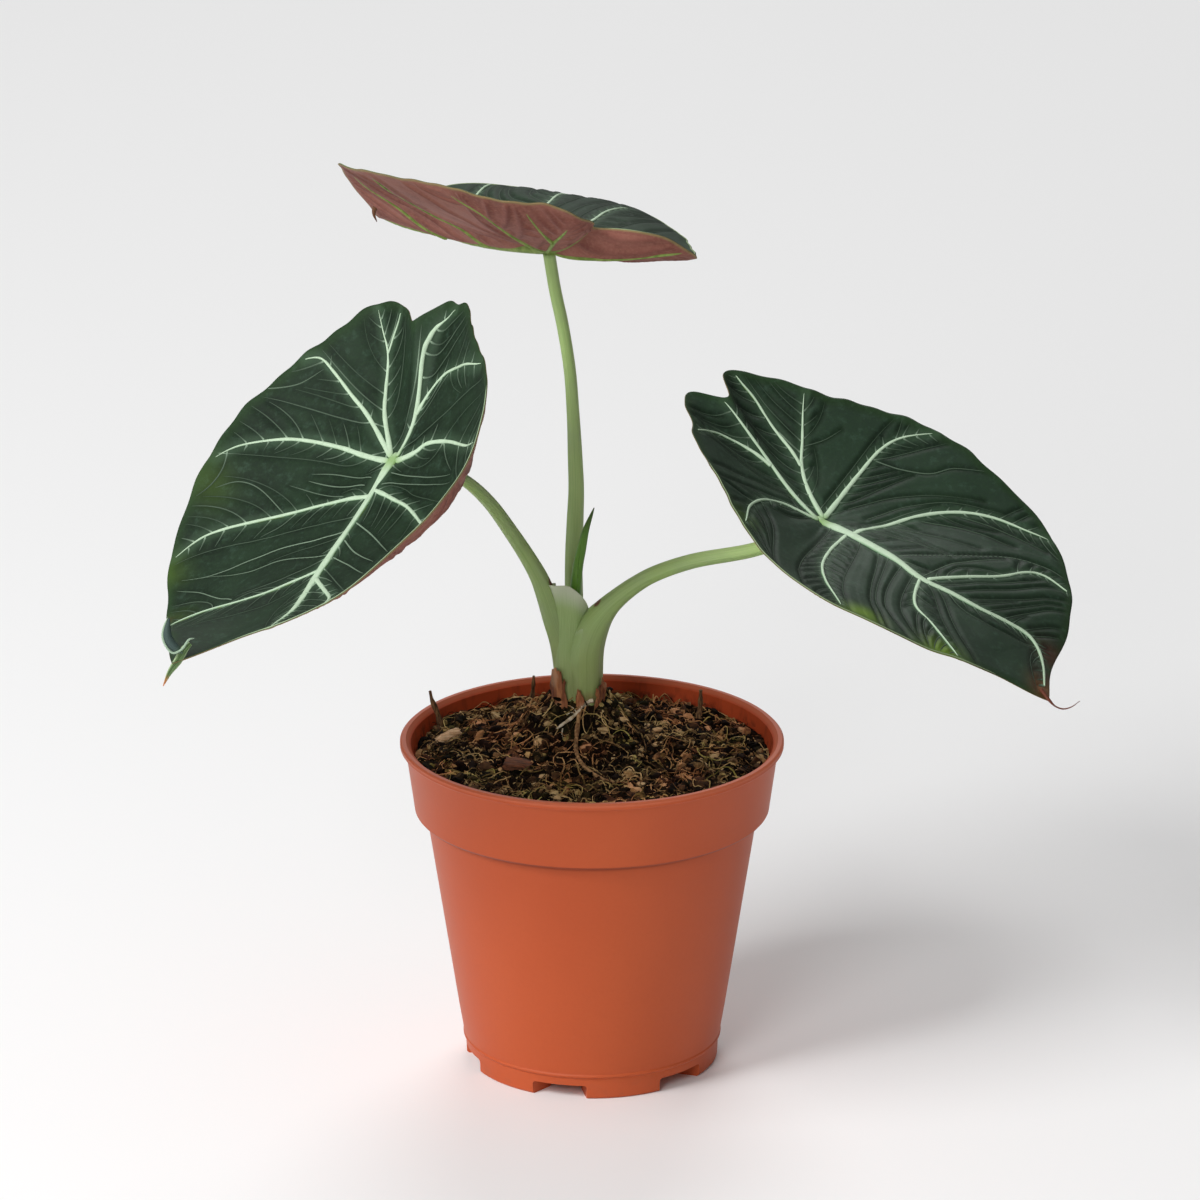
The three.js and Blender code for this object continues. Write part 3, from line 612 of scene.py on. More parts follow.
crumb_bm = bmesh.new()
bmesh.ops.create_icosphere(crumb_bm, subdivisions=1, radius=1)
crumb_bark = mix_finish("bark_crumbs", (204, 176, 130), (156, 152, 70))
scattered("mix_crumbs", crumb_bm, CRUMBS, draw_crumb, crumb_bark)

fibre_bm = bmesh.new()
bmesh.ops.create_cone(fibre_bm, cap_ends=True, segments=3, radius1=1, radius2=1, depth=1)
lying = Matrix.Rotation(math.pi / 2, 3, "Y")
bmesh.ops.rotate(fibre_bm, cent=(0, 0, 0), matrix=lying, verts=fibre_bm.verts[:])
bmesh.ops.translate(fibre_bm, vec=(0.5, 0, 0), verts=fibre_bm.verts[:])
long_edges = [edge for edge in fibre_bm.edges if abs(edge.verts[0].co.x - edge.verts[1].co.x) > 0.5]
bmesh.ops.subdivide_edges(fibre_bm, edges=long_edges, cuts=9)
coir = mix_finish("coir_fibres", (214, 184, 128), (170, 168, 84))
scattered("mix_fibres", fibre_bm, FIBRES, draw_fibre, coir)

# ---- Chips and twigs -----------------------------------------------------------------------
# A split piece of pale wood and a flake of bark lie on the mix, and three dry twigs stand in
# it. The chips are broken slabs with worn corners, the twigs tapering and knobbly.

# Each chip: name, place, size, turns about x, y and z in degrees, light and dark colour.
CHIPS = [
    ("wood_chip", (-39.4, 10, 88.9), (7, 3.1, 2.0), (14, -14, 20), (236, 206, 166), (190, 148, 106)),
    ("bark_chip", (-20.1, -15, 89.9), (7.2, 4.8, 2.3), (8, 12, -16), (128, 78, 52), (66, 42, 30)),
]
# Each twig: rows of x, y, z and radius.
TWIGS = {
    "twig_left": [
        (-40.4, 23, 85.5, 0.9), (-41.8, 22.3, 88, 0.85), (-42.6, 22, 91, 0.8),
        (-44.2, 22, 95.4, 0.6), (-44.7, 22, 98.1, 0.35),
    ],
    "twig_back_left": [(-17.2, 37.6, 86, 0.7), (-16.5, 38, 92.6, 0.6), (-16.2, 38, 96.8, 0.4)],
    "twig_back_right": [(29.3, 26, 85, 0.8), (29.9, 27, 91.9, 0.7), (30.1, 27, 96.6, 0.45)],
}


def wood_finish(name, light, dark, stretch):
    """Dry wood, bark or root skin, with streaks along the axis that stretch makes small."""
    made, sockets, place = finish(name, Specular_IOR_Level=0.3)
    streaks = place.noise(900, 4, stretch, 0.6)
    color = streaks.rises(0.35, 0.65).blend(srgb(*dark), srgb(*light))
    color = (place.noise(260, 3).rises(0.55, 0.75) * 0.5).blend(color, srgb(38, 26, 18))
    feed(sockets, Base_Color=color, Roughness=0.72 + streaks * 0.2)
    feed(sockets, Normal=bumps(streaks, 0.0004, 0.8))
    return made


def through_rows(rows, at):
    """A smooth curve through rows, whose first column is the place along it, read at places."""
    rows = np.asarray(rows, float)
    x = rows[:, 0]
    step = np.diff(x)
    slope = np.diff(rows[:, 1:], axis=0) / step[:, None]
    tangent = np.empty_like(rows[:, 1:])
    tangent[0], tangent[-1] = slope[0], slope[-1]
    weights = (step[:-1] + step[1:])[:, None]
    tangent[1:-1] = (slope[:-1] * step[1:, None] + slope[1:] * step[:-1, None]) / weights
    at = np.atleast_1d(at)
    i = np.clip(np.searchsorted(x, at, side="left") - 1, 0, len(step) - 1)
    h = step[i]
    t = ((at - x[i]) / h)[:, None]
    h = h[:, None]
    t2, t3 = t * t, t * t * t
    value = (2 * t3 - 3 * t2 + 1) * rows[i, 1:] + (t3 - 2 * t2 + t) * h * tangent[i]
    return value + (3 * t2 - 2 * t3) * rows[i + 1, 1:] + (t3 - t2) * h * tangent[i + 1]


def tube(bm, path, steps, sides, shape=None):
    """A closed round length along rows of x, y, z and radius in millimetres. Its UV map runs
    along and round. Shape may change the radius, from the share along, the turn and the radius
    there. The first and last row of points close the ends."""
    path = np.asarray(path, float)
    gaps = np.sqrt(np.linalg.norm(np.diff(path[:, :3], axis=0), axis=1))
    rows = np.column_stack([np.concatenate([[0], np.cumsum(gaps)]), path])
    along = np.linspace(0, rows[-1, 0], steps + 1)
    points = through_rows(rows, along)
    tangents = np.gradient(points[:, :3], axis=0)
    tangents /= np.linalg.norm(tangents, axis=1)[:, None]
    side = np.cross((0.31, 1, 0.17), tangents[0])
    frames = []
    for tangent in tangents:
        side = side - tangent * side.dot(tangent)
        side /= np.linalg.norm(side)
        frames.append((side, np.cross(tangent, side)))
    if not bm.loops.layers.uv:
        bm.loops.layers.uv.new("along_round")
    made = bmesh.ops.create_grid(
        bm, x_segments=steps + 2, y_segments=sides, size=0.5, calc_uvs=True,
    )["verts"]
    for vert in made:
        ring = round((vert.co.x + 0.5) * (steps + 2))
        k = min(max(ring - 1, 0), steps)
        turn = 2 * math.pi * (vert.co.y + 0.5)
        radius = points[k, 3] if 0 < ring < steps + 2 else 0
        if shape and radius:
            radius = shape(k / steps, turn, radius)
        offset = math.cos(turn) * frames[k][0] + math.sin(turn) * frames[k][1]
        vert.co = Vector((points[k, :3] + radius * offset) * MM)
    bmesh.ops.remove_doubles(bm, verts=made, dist=1e-7)


for name, at, size, angles, light, dark in CHIPS:
    bm = bmesh.new()
    bmesh.ops.create_cube(bm, size=1)
    bmesh.ops.subdivide_edges(bm, edges=bm.edges[:], cuts=9, use_grid_fill=True)
    bmesh.ops.smooth_vert(
        bm, verts=bm.verts[:], factor=0.5, use_axis_x=True, use_axis_y=True, use_axis_z=True,
    )
    about_x, about_y, about_z = (math.radians(angle) for angle in angles)
    turn = Matrix.Rotation(about_z, 3, "Z") @ Matrix.Rotation(about_y, 3, "Y")
    turn = turn @ Matrix.Rotation(about_x, 3, "X")
    for vert in bm.verts:
        x, y, z = vert.co
        y = y * (1 - 1.1 * x * x) + 0.12 * math.sin(5 * x)
        z = z * (1 - 0.8 * y * y) + 0.1 * math.sin(4 * x + 1)
        rough = 1 + 0.16 * noise.noise((x * 3, y * 9, z * 5))
        rough += 0.1 * noise.noise((x * 9, y * 20, z * 9))
        vert.co = (Vector(at) + turn @ Vector((x * size[0], y * size[1], z * size[2])) * rough) * MM
    wood = wood_finish(name + "_wood", light, dark, (0.25, 2.5, 2))
    piece(name + "_shape", bm, wood, [name], 60)

twig_wood = wood_finish("twig_wood", (150, 115, 76), (70, 48, 32), (2, 2, 0.3))
for name, path in TWIGS.items():
    bm = bmesh.new()

    def knobs(share, turn, radius):
        swell = 0.18 * math.sin(share * 17 + len(name))
        return radius * (1 + swell + 0.1 * math.cos(3 * turn + share * 8))

    tube(bm, path, 24, 12, knobs)
    piece(name + "_shape", bm, twig_wood, [name], 60)

# ---- Surface roots and corm ----------------------------------------------------------------
# Two thin roots leave the crown and run over the mix in front, one whitish and one tan, with
# short side roots. Their paths stand with the mix, which keeps clear of them. The corm is the
# swollen stem base that they grow from, inside the mix, and keeps the shape of its solid.

# Each root: light and dark colour.
ROOTS = {
    "pale": ((224, 212, 186), (176, 158, 128)),
    "tan": ((188, 148, 102), (124, 88, 58)),
}
ROOT_OVER_MIX = 0.8
ROOT_THINNER = 0.8
SIDE_ROOTS = 5
SIDE_ROOT_STEP = 1.6
SIDE_ROOT_OVER_MIX = 0.35


def uneven(share, turn, radius):
    return radius * (1 + 0.12 * math.sin(share * 31) + 0.08 * math.sin(2 * turn + share * 40))


for name, (light, dark) in ROOTS.items():
    bm = bmesh.new()
    lifted = []
    for x, y, z, r in ROOT_PATHS[name]:
        lifted.append((x, y, max(z, mix_height(x, y) + ROOT_OVER_MIX), ROOT_THINNER * r))
    tube(bm, lifted, 60, 10, uneven)
    for i in range(SIDE_ROOTS):
        x, y, _, _ = lifted[1 + i % (len(lifted) - 2)]
        side_root = []
        for k in range(3):
            angle = 1.9 * i + 0.6 + 0.2 * k
            px = x + SIDE_ROOT_STEP * k * math.cos(angle)
            py = y + SIDE_ROOT_STEP * k * math.sin(angle)
            side_root.append((px, py, mix_height(px, py) + SIDE_ROOT_OVER_MIX, 0.22 - 0.06 * k))
        tube(bm, side_root, 8, 6)
    skin = wood_finish(f"{name}_root_skin", light, dark, (1, 1, 1))
    piece(f"surface_root_{name}_shape", bm, skin, [f"surface_root_{name}"], 70)

corm_skin = wood_finish("corm_skin", (128, 96, 66), (66, 46, 32), (1, 1, 4))
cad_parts["corm"].data.materials.clear()
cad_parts["corm"].data.materials.append(corm_skin)

# ---- Petioles, sheaths and the new leaf ----------------------------------------------------
# Three smooth, waxy, pale green leaf stems. Their bases widen into thin sheaths with pale
# papery edges that wrap each other and the dark rolled spike of the next leaf. Dry brown
# remains of older sheaths still cling to the crown.

# Rows of x, y, z and radius in millimetres.
PETIOLES = {
    "left": [
        (-6, 8, 80, 3.2), (-6.1, 7.5, 97, 3.5), (-6.7, 7, 108, 3.6), (-8, 6, 118, 3.6),
        (-10.4, 4.7, 125.7, 3.2), (-12.3, 3.3, 132, 2.8), (-14.3, 1.6, 138, 2.45),
        (-16.8, -0.5, 143.6, 2.2), (-21.3, -4, 152.2, 2.0), (-27.9, -10, 163.8, 1.8),
        (-35, -18, 172.9, 1.6), (-44, -25.5, 179.2, 1.6), (-52.2, -29.4, 180.8, 1.6),
    ],
    "right": [
        (-1.7, 5.5, 80, 3.5), (-1.7, 5.2, 97, 3.9), (-1.4, 4.6, 108, 4.3), (-1.2, 3.6, 118, 4.6),
        (0.9, 2.6, 124.6, 4.1), (3.6, 1.6, 128.8, 3.2), (6.2, 0.3, 132, 2.7),
        (11.6, -3, 137.5, 2.3), (17.1, -7, 142.1, 2.15), (27, -13, 147.7, 2.0),
        (42.6, -22, 153.8, 1.9), (54, -27.5, 159.3, 1.8), (61.2, -29.8, 163.6, 1.8),
    ],
    "top": [
        (-4.2, 10.5, 80, 2.4), (-4.1, 10.8, 102, 2.6), (-4.9, 11, 128, 2.5), (-5, 11, 140, 2.4),
        (-4.6, 11, 151.5, 2.3), (-4.3, 11, 160, 2.15), (-4.6, 11, 170, 2.0), (-5.1, 10.5, 181.6, 1.75),
        (-6, 9.5, 194.7, 1.65), (-7.9, 8, 207.8, 1.65), (-9.9, 6.5, 218.1, 1.65),
        (-11.5, 4.4, 229, 1.65),
    ],
}
NEW_LEAF = [
    (-4.6, 6, 112, 1.2), (-4.8, 5.5, 123, 1.4), (-4.4, 4.9, 133, 1.5), (-3.7, 4.4, 140.6, 1.38),
    (-2.8, 4.2, 145.2, 1.22), (-1.6, 4, 150.9, 0.86), (-0.1, 4, 155.3, 0.4), (0.6, 4, 157.3, 0.12),
]
# Heights in metres where the finishes change, and the places of two wine red marks.
STEM_PALE_UP = (0.128, 0.108)
STEM_FLECKS_UP = (0.125, 0.098)
STEM_FOOT_UP = (0.107, 0.101)
STEM_MARKS = [(-0.0108, 0.0018, 0.1371), (0.0014, 0.0012, 0.1312)]
STEM_MARK_R = (0.0018, 0.0010)
SHEATH_PALE_UP = (0.120, 0.104)
SHEATH_FLECKS_UP = (0.122, 0.100)
SPIKE_TIP_UP = (0.157, 0.146)
SPIKE_SEAM_AT = 0.42


def along_round(place):
    """The UV map of a tube or a wrap: x runs along or across it, y round it or up it."""
    return place.node("ShaderNodeUVMap", {"uv_map": "along_round"})


def stem_finish():
    """Pale green with fine lines, flecked with brown low down and brown at the foot."""
    made, sockets, place = finish(
        "stem_skin", Specular_IOR_Level=0.4, Subsurface_Weight=0.08,
        Subsurface_Radius=(0.4, 0.8, 0.2), Subsurface_Scale=0.002,
    )
    uv = along_round(place)
    up = place.part(2)
    lines = uv.noise(9, 3, (0.35, 8, 1), 0.6)
    clouds = place.noise(90, 3)
    color = lines.rises(0.3, 0.7).blend(srgb(136, 164, 94), srgb(156, 180, 114))
    color = (clouds.rises(0.4, 0.7) * 0.5).blend(color, srgb(140, 160, 112))
    color = (up.rises(*STEM_PALE_UP) * 0.5).blend(color, srgb(150, 160, 100))
    flecks = place.noise(520, 5, (1, 1, 0.5), 0.7).rises(0.66, 0.72) * up.rises(*STEM_FLECKS_UP)
    color = (flecks * 0.7).blend(color, srgb(150, 104, 66))
    for mark in STEM_MARKS:
        gap = place.vector("DISTANCE", mark, output=1)
        color = (gap.rises(*STEM_MARK_R) * 0.9).blend(color, srgb(96, 20, 30))
    foot = up.rises(*STEM_FOOT_UP) * place.noise(300, 4).rises(0.35, 0.6)
    color = (foot * 0.8).blend(color, srgb(120, 78, 48))
    feed(sockets, Base_Color=color, Roughness=0.42 + lines * 0.12 + foot * 0.3)
    feed(sockets, Normal=bumps(lines, 0.00018, 0.6))
    return made


def ribbed(share, turn, radius):
    return radius * (1 + 0.02 * math.sin(7 * turn) + 0.012 * math.sin(13 * turn + 3 * share))


stem_skin = stem_finish()
for side, path in PETIOLES.items():
    bm = bmesh.new()
    tube(bm, path, 150, 40, ribbed)
    piece(f"petiole_{side}_stem", bm, stem_skin, [f"petiole_{side}"])


def wrap(axis, rows, columns, height_at, turn_at, spread_at, thick):
    """A thin curved sheet round a stem, whose axis is rows of x, y, z and radius. For shares
    across and up the sheet, height_at gives its height, turn_at its angle in degrees and
    spread_at how far it stands off the stem."""
    bm = bmesh.new()
    bm.loops.layers.uv.new("along_round")
    made = bmesh.ops.create_grid(
        bm, x_segments=columns, y_segments=rows, size=0.5, calc_uvs=True,
    )["verts"]
    path = np.asarray(axis, float)
    table = np.column_stack([path[:, 2], path[:, 0], path[:, 1], path[:, 3]])
    spots = {}
    for vert in made:
        across, up = vert.co.x + 0.5, vert.co.y + 0.5
        z = height_at(across, up)
        x, y, r = through_rows(table, z)[0]
        turn = math.radians(turn_at(across, up))
        spots[vert] = (x, y, r + spread_at(across, up), turn, z)
    shell = bmesh.ops.extrude_face_region(bm, geom=bm.faces[:])["geom"]
    outer = [item for item in shell if isinstance(item, bmesh.types.BMVert)]
    near = {(round(v.co.x, 5), round(v.co.y, 5)): spot for v, spot in spots.items()}
    for vert in outer:
        x, y, r, turn, z = near[round(vert.co.x, 5), round(vert.co.y, 5)]
        r += thick
        vert.co = Vector((x + r * math.cos(turn), y + r * math.sin(turn), z)) * MM
    for vert, (x, y, r, turn, z) in spots.items():
        vert.co = Vector((x + r * math.cos(turn), y + r * math.sin(turn), z)) * MM
    return bm


def membrane_finish():
    """As the stems, with a papery whitish edge at the top."""
    made, sockets, place = finish(
        "sheath_membrane", Specular_IOR_Level=0.4, Subsurface_Weight=0.1,
        Subsurface_Radius=(0.6, 0.8, 0.4), Subsurface_Scale=0.002,
    )
    uv = along_round(place)
    edge = uv.part(1)
    up = place.part(2)
    lines = uv.noise(9, 3, (9, 0.4, 1), 0.6)
    color = lines.rises(0.3, 0.7).blend(srgb(138, 166, 98), srgb(158, 182, 120))
    color = (edge.rises(0.8, 1.0) * 0.75).blend(color, srgb(204, 210, 190))
    color = (up.rises(*SHEATH_PALE_UP) * 0.6).blend(color, srgb(152, 160, 104))
    flecks = place.noise(520, 5, (1, 1, 0.5), 0.7).rises(0.64, 0.7) * up.rises(*SHEATH_FLECKS_UP)
    color = (flecks * 0.7).blend(color, srgb(150, 104, 66))
    feed(sockets, Base_Color=color, Roughness=0.45 + lines * 0.12)
    feed(sockets, Normal=bumps(lines, 0.00015, 0.6))
    return made


LEFT_WRAP = [
    (-6, 6.5, 92, 3.4), (-6.4, 6.2, 108, 3.9), (-6.2, 5.6, 122, 4.0), (-5.8, 5.4, 131, 3.9),
    (-5.6, 5.4, 142, 3.6),
]
SHEATH_THICK = 0.3


def left_wing_height(across, up):
    return 97 + up * (35.5 + 4 * math.sin(2.4 * across + 0.8) - 5 * across ** 3)


def left_wing_turn(across, up):
    return 186 + 166 * across


def left_wing_spread(across, up):
    """Close to the stem low down, with a bulge near the top on the left."""
    bulge = (0.5 * up * up + 3.4 * up ** 6) * math.exp(-((across - 0.2) / 0.17) ** 2)
    return 0.3 + 0.7 * across * up ** 3 + bulge - 0.9 * (1 - across) ** 2


def right_wing_height(across, up):
    return 96 + up * (30 + 4 * across)


def right_wing_turn(across, up):
    return 185 + (75 + 25 * up) * across


def right_wing_spread(across, up):
    return 0.6 - 1.3 * across - 0.8 * up ** 6


membrane = membrane_finish()
wing = wrap(
    LEFT_WRAP, 60, 60, left_wing_height, left_wing_turn, left_wing_spread, SHEATH_THICK,
)
piece("sheath_left_wing", wing, membrane, sharp=50)
wing = wrap(
    PETIOLES["right"][:6], 60, 60, right_wing_height, right_wing_turn, right_wing_spread,
    SHEATH_THICK,
)
piece("sheath_right_wing", wing, membrane, sharp=50)

spike_skin, sockets, place = finish("new_leaf_skin", Specular_IOR_Level=0.4)
up = place.part(2)
uv = along_round(place)
round_it = uv.part(1)
lines = uv.noise(8, 3, (0.5, 7, 1))
seam = ((round_it - SPIKE_SEAM_AT) * (2 * math.pi)).math("COSINE").rises(0.45, 0.95)
color = up.rises(*SPIKE_TIP_UP).blend(srgb(54, 80, 24), srgb(86, 132, 34))
color = seam.blend(color, srgb(40, 54, 22))
color = (lines.rises(0.45, 0.7) * 0.5).blend(color, srgb(72, 112, 30))
feed(sockets, Base_Color=color, Roughness=0.4 + lines * 0.15)
feed(sockets, Normal=bumps(lines, 0.0002, 0.6))


def rolled(share, turn, radius):
    """A rolled leaf: a spiral step runs up it."""
    step = ((turn + 2.5 * share) % (2 * math.pi)) / (2 * math.pi)
    return radius * (0.92 + 0.22 * step)


bm = bmesh.new()
tube(bm, NEW_LEAF, 90, 48, rolled)
piece("new_leaf_spike", bm, spike_skin, ["new_leaf"], 50)

dry_skin, sockets, place = finish("dry_sheath_skin", Specular_IOR_Level=0.3)
fibre = place.noise(700, 5, (1, 1, 0.12), 0.65)
color = fibre.rises(0.35, 0.65).blend(srgb(104, 56, 34), srgb(178, 118, 76))
color = (place.noise(180, 3).rises(0.5, 0.7) * 0.5).blend(color, srgb(184, 152, 122))
feed(sockets, Base_Color=color, Roughness=0.6 + fibre * 0.25)
feed(sockets, Normal=bumps(fibre, 0.0005, 0.9))
# Each dry scrap: name, the axis it curls round, its first and last angle in degrees, its lowest
# and highest height, and how ragged its top is.
DRY = [
    ("sheath_scrap_left", [(-5.9, 6.2, 92, 4.5), (-6.0, 6.0, 114, 4.7)], 186, 258, 95, 112.5, 3.5),
    ("sheath_scrap_front", [(-1.7, 5.2, 92, 4.6), (-1.6, 5, 112, 4.9)], 240, 262, 97, 107, 2.5),
    ("sheath_scrap_right", [(-1.7, 5.3, 92, 4.5), (-1.5, 5, 112, 4.8)], 298, 346, 96, 109.5, 3.5),
]
DRY_THICK = 0.22
for name, axis, start, stop, low, high, ragged in DRY:

    def height(across, up):
        top = high - ragged * abs(2 * across - 1) ** 1.5
        top -= ragged * abs(noise.noise((across * 7, low, 0.5)))
        return low + up * (top - low)

    def swing(across, up):
        return start + (stop - start) * across + 9 * noise.noise((up * 3, across * 2, low))

    def lift(across, up):
        return 0.15 + 0.9 * up * up * (0.4 + abs(noise.noise((across * 4, up * 3, low + 5))))

    scrap = wrap(axis, 40, 30, height, swing, lift, DRY_THICK)
    piece(name + "_shape", scrap, dry_skin, [name], 60)

# ---- Leaves --------------------------------------------------------------------------------
# Three shield-shaped blades, each one thin sheet that the stem joins from below. The upper
# side is dark velvety green, quilted between sunken side veins, the underside maroon. The
# main veins stand out on both sides, pale silver above and green below.

# The tables of the leaves. In each:
# at is where the stem joins, and heading, droop and roll turn the leaf, in degrees.
# quilt is how far the blade swells between its veins, gleam how much painted sheen lightens
# the swellings and how smooth the blade is there, spacing how far apart fine side veins start,
# midrib_holds how long the midrib keeps its width and fine_shows how pale the fine veins are.
# spokes are angle from the tip, reach to the margin, rise half-way out, rise at the margin.
# veins are half width at the start and at the end, and points in the plane of the leaf.
# faint are strength and points of fine veins that stand out.
# rims are first and last angle and strength of a pale margin.
# aged, dry and red are spots: x, y, size and strength.
LEFT_LEAF = {
    "side": "left", "at": (-53, -30, 181.6), "heading": -127, "droop": 21, "roll": 20,
    "quilt": 0.13, "gleam": 0.35, "spacing": 5.2, "midrib_holds": 2.2, "fine_shows": 0.8,
    "spokes": [
        (0, 96, -7, 3), (8, 83.5, -7, 0), (18, 79, -7, -1), (30, 75.5, -7, -0.5),
        (42, 71.5, -7, 2.5), (54, 68, -6.5, 5.5), (66, 62, -5, 8.5), (80, 54, -2, 13),
        (95, 47, 1, 17), (110, 41, 4, 20), (125, 37.5, 6, 22.5), (138, 37.5, 7, 24),
        (150, 39, 8, 25), (161, 39, 8, 25), (170, 38.5, 8, 25), (180, 31.5, 8, 25),
        (190, 36.5, 8, 25.5), (200, 43, 8.5, 26.5), (208, 46.5, 9, 27), (222, 44.5, 9, 26),
        (237, 45, 8, 24.5), (252, 48.5, 6.5, 22), (266, 53, 4.5, 19.5), (280, 56.5, 2, 15.5),
        (293, 62, -0.5, 9), (304, 67.5, -2.5, 2), (315, 71, -4, -3.5), (328, 74.5, -5.5, -5),
        (341, 79, -6.5, 0), (352, 85, -7, 4), (360, 96, -7, 3),
    ],
    "veins": [
        (1.85, 0.5, [
            (-3, 0), (14, -1.5), (27, -1), (37, 1), (45, 3.5), (55, 8.5), (64, 13.5), (70, 16),
        ]),
        (1.05, 0.3, [(-1, -1), (-13, -10), (-21, -13.5), (-30, -16), (-35, -19), (-40, -22)]),
        (0.5, 0.25, [(-30, -16), (-34, -14.5), (-37.5, -11.5)]),
        (1.0, 0.3, [
            (-1, -1), (-12.5, -15), (-17.5, -23), (-21.5, -29.5), (-23.5, -34), (-22, -38.5),
        ]),
        (1.1, 0.35, [
            (0, -1), (-2.5, -13), (-4, -21.5), (-4, -31.5), (-2, -40), (3.5, -49), (11, -55),
        ]),
        (1.0, 0.35, [(11, -1.5), (13, -11.5), (15, -22.5), (21.5, -38), (29, -49), (38, -54.5)]),
        (0.9, 0.3, [(41, 1.5), (45, -5), (51.5, -11), (56, -20), (58.5, -32), (63, -38.5)]),
        (0.85, 0.25, [(-1, 1), (-11, 1.5), (-24, 1.5), (-30, 3), (-34, 6), (-35.5, 12)]),
        (0.7, 0.3, [(-13.5, 1.5), (-19.5, 4.5), (-22, 12), (-18, 25), (-12.5, 38)]),
        (1.0, 0.3, [(0, 1), (-2.5, 7), (-4.5, 12), (-3, 22), (3, 35)]),
        (0.95, 0.4, [(9.5, -1), (12.5, 7.5), (15.5, 15.5), (24.5, 28.5), (33, 40)]),
        (0.9, 0.5, [(45, 4), (52, 14), (60, 25), (66, 31)]),
    ],
    "faint": [
        (0.5, [(5.5, -4), (3.5, -18.5), (4.5, -27.5)]),
        (0.6, [(8, -5), (7, -20), (6.5, -27.5)]),
        (0.4, [(11.5, -11), (9.5, -25), (9, -32.5)]),
        (0.75, [(23, -2), (27.5, -13), (30.5, -22.5), (34.5, -31), (40, -39), (44, -49.5)]),
        (0.55, [(33.5, 0), (34.5, -15.5), (37.5, -24), (40, -32.5), (41.5, -42.5)]),
        (0.8, [(21, 0), (27, 11), (36.5, 25.5)]),
        (0.75, [(28, 1), (34, 10), (41, 24)]),
        (0.7, [(35, 2), (40, 12.5), (48, 27)]),
        (0.55, [(4, 2), (4, 12), (7, 28)]),
        (0.5, [(8, 1), (6.5, 13.5), (10, 30)]),
        (0.4, [(-12.5, -47), (-16.5, -38.5), (-21.5, -32.5)]),
        (0.45, [(17.5, -29.5), (12.5, -39.5), (12.5, -46), (16.5, -51.5)]),
        (0.6, [(53, -21.5), (50, -31), (47.5, -40), (47.5, -48.5)]),
    ],
    "rims": [(4, 96, 0.75), (338, 359, 0.5)],
    "aged": [(42, -53, 5, 0.25), (16, -53, 6, 0.2), (60, -39, 5, 0.35)],
    "dry": [(61, -42, 2, 0.4)],
    "red": [],
}
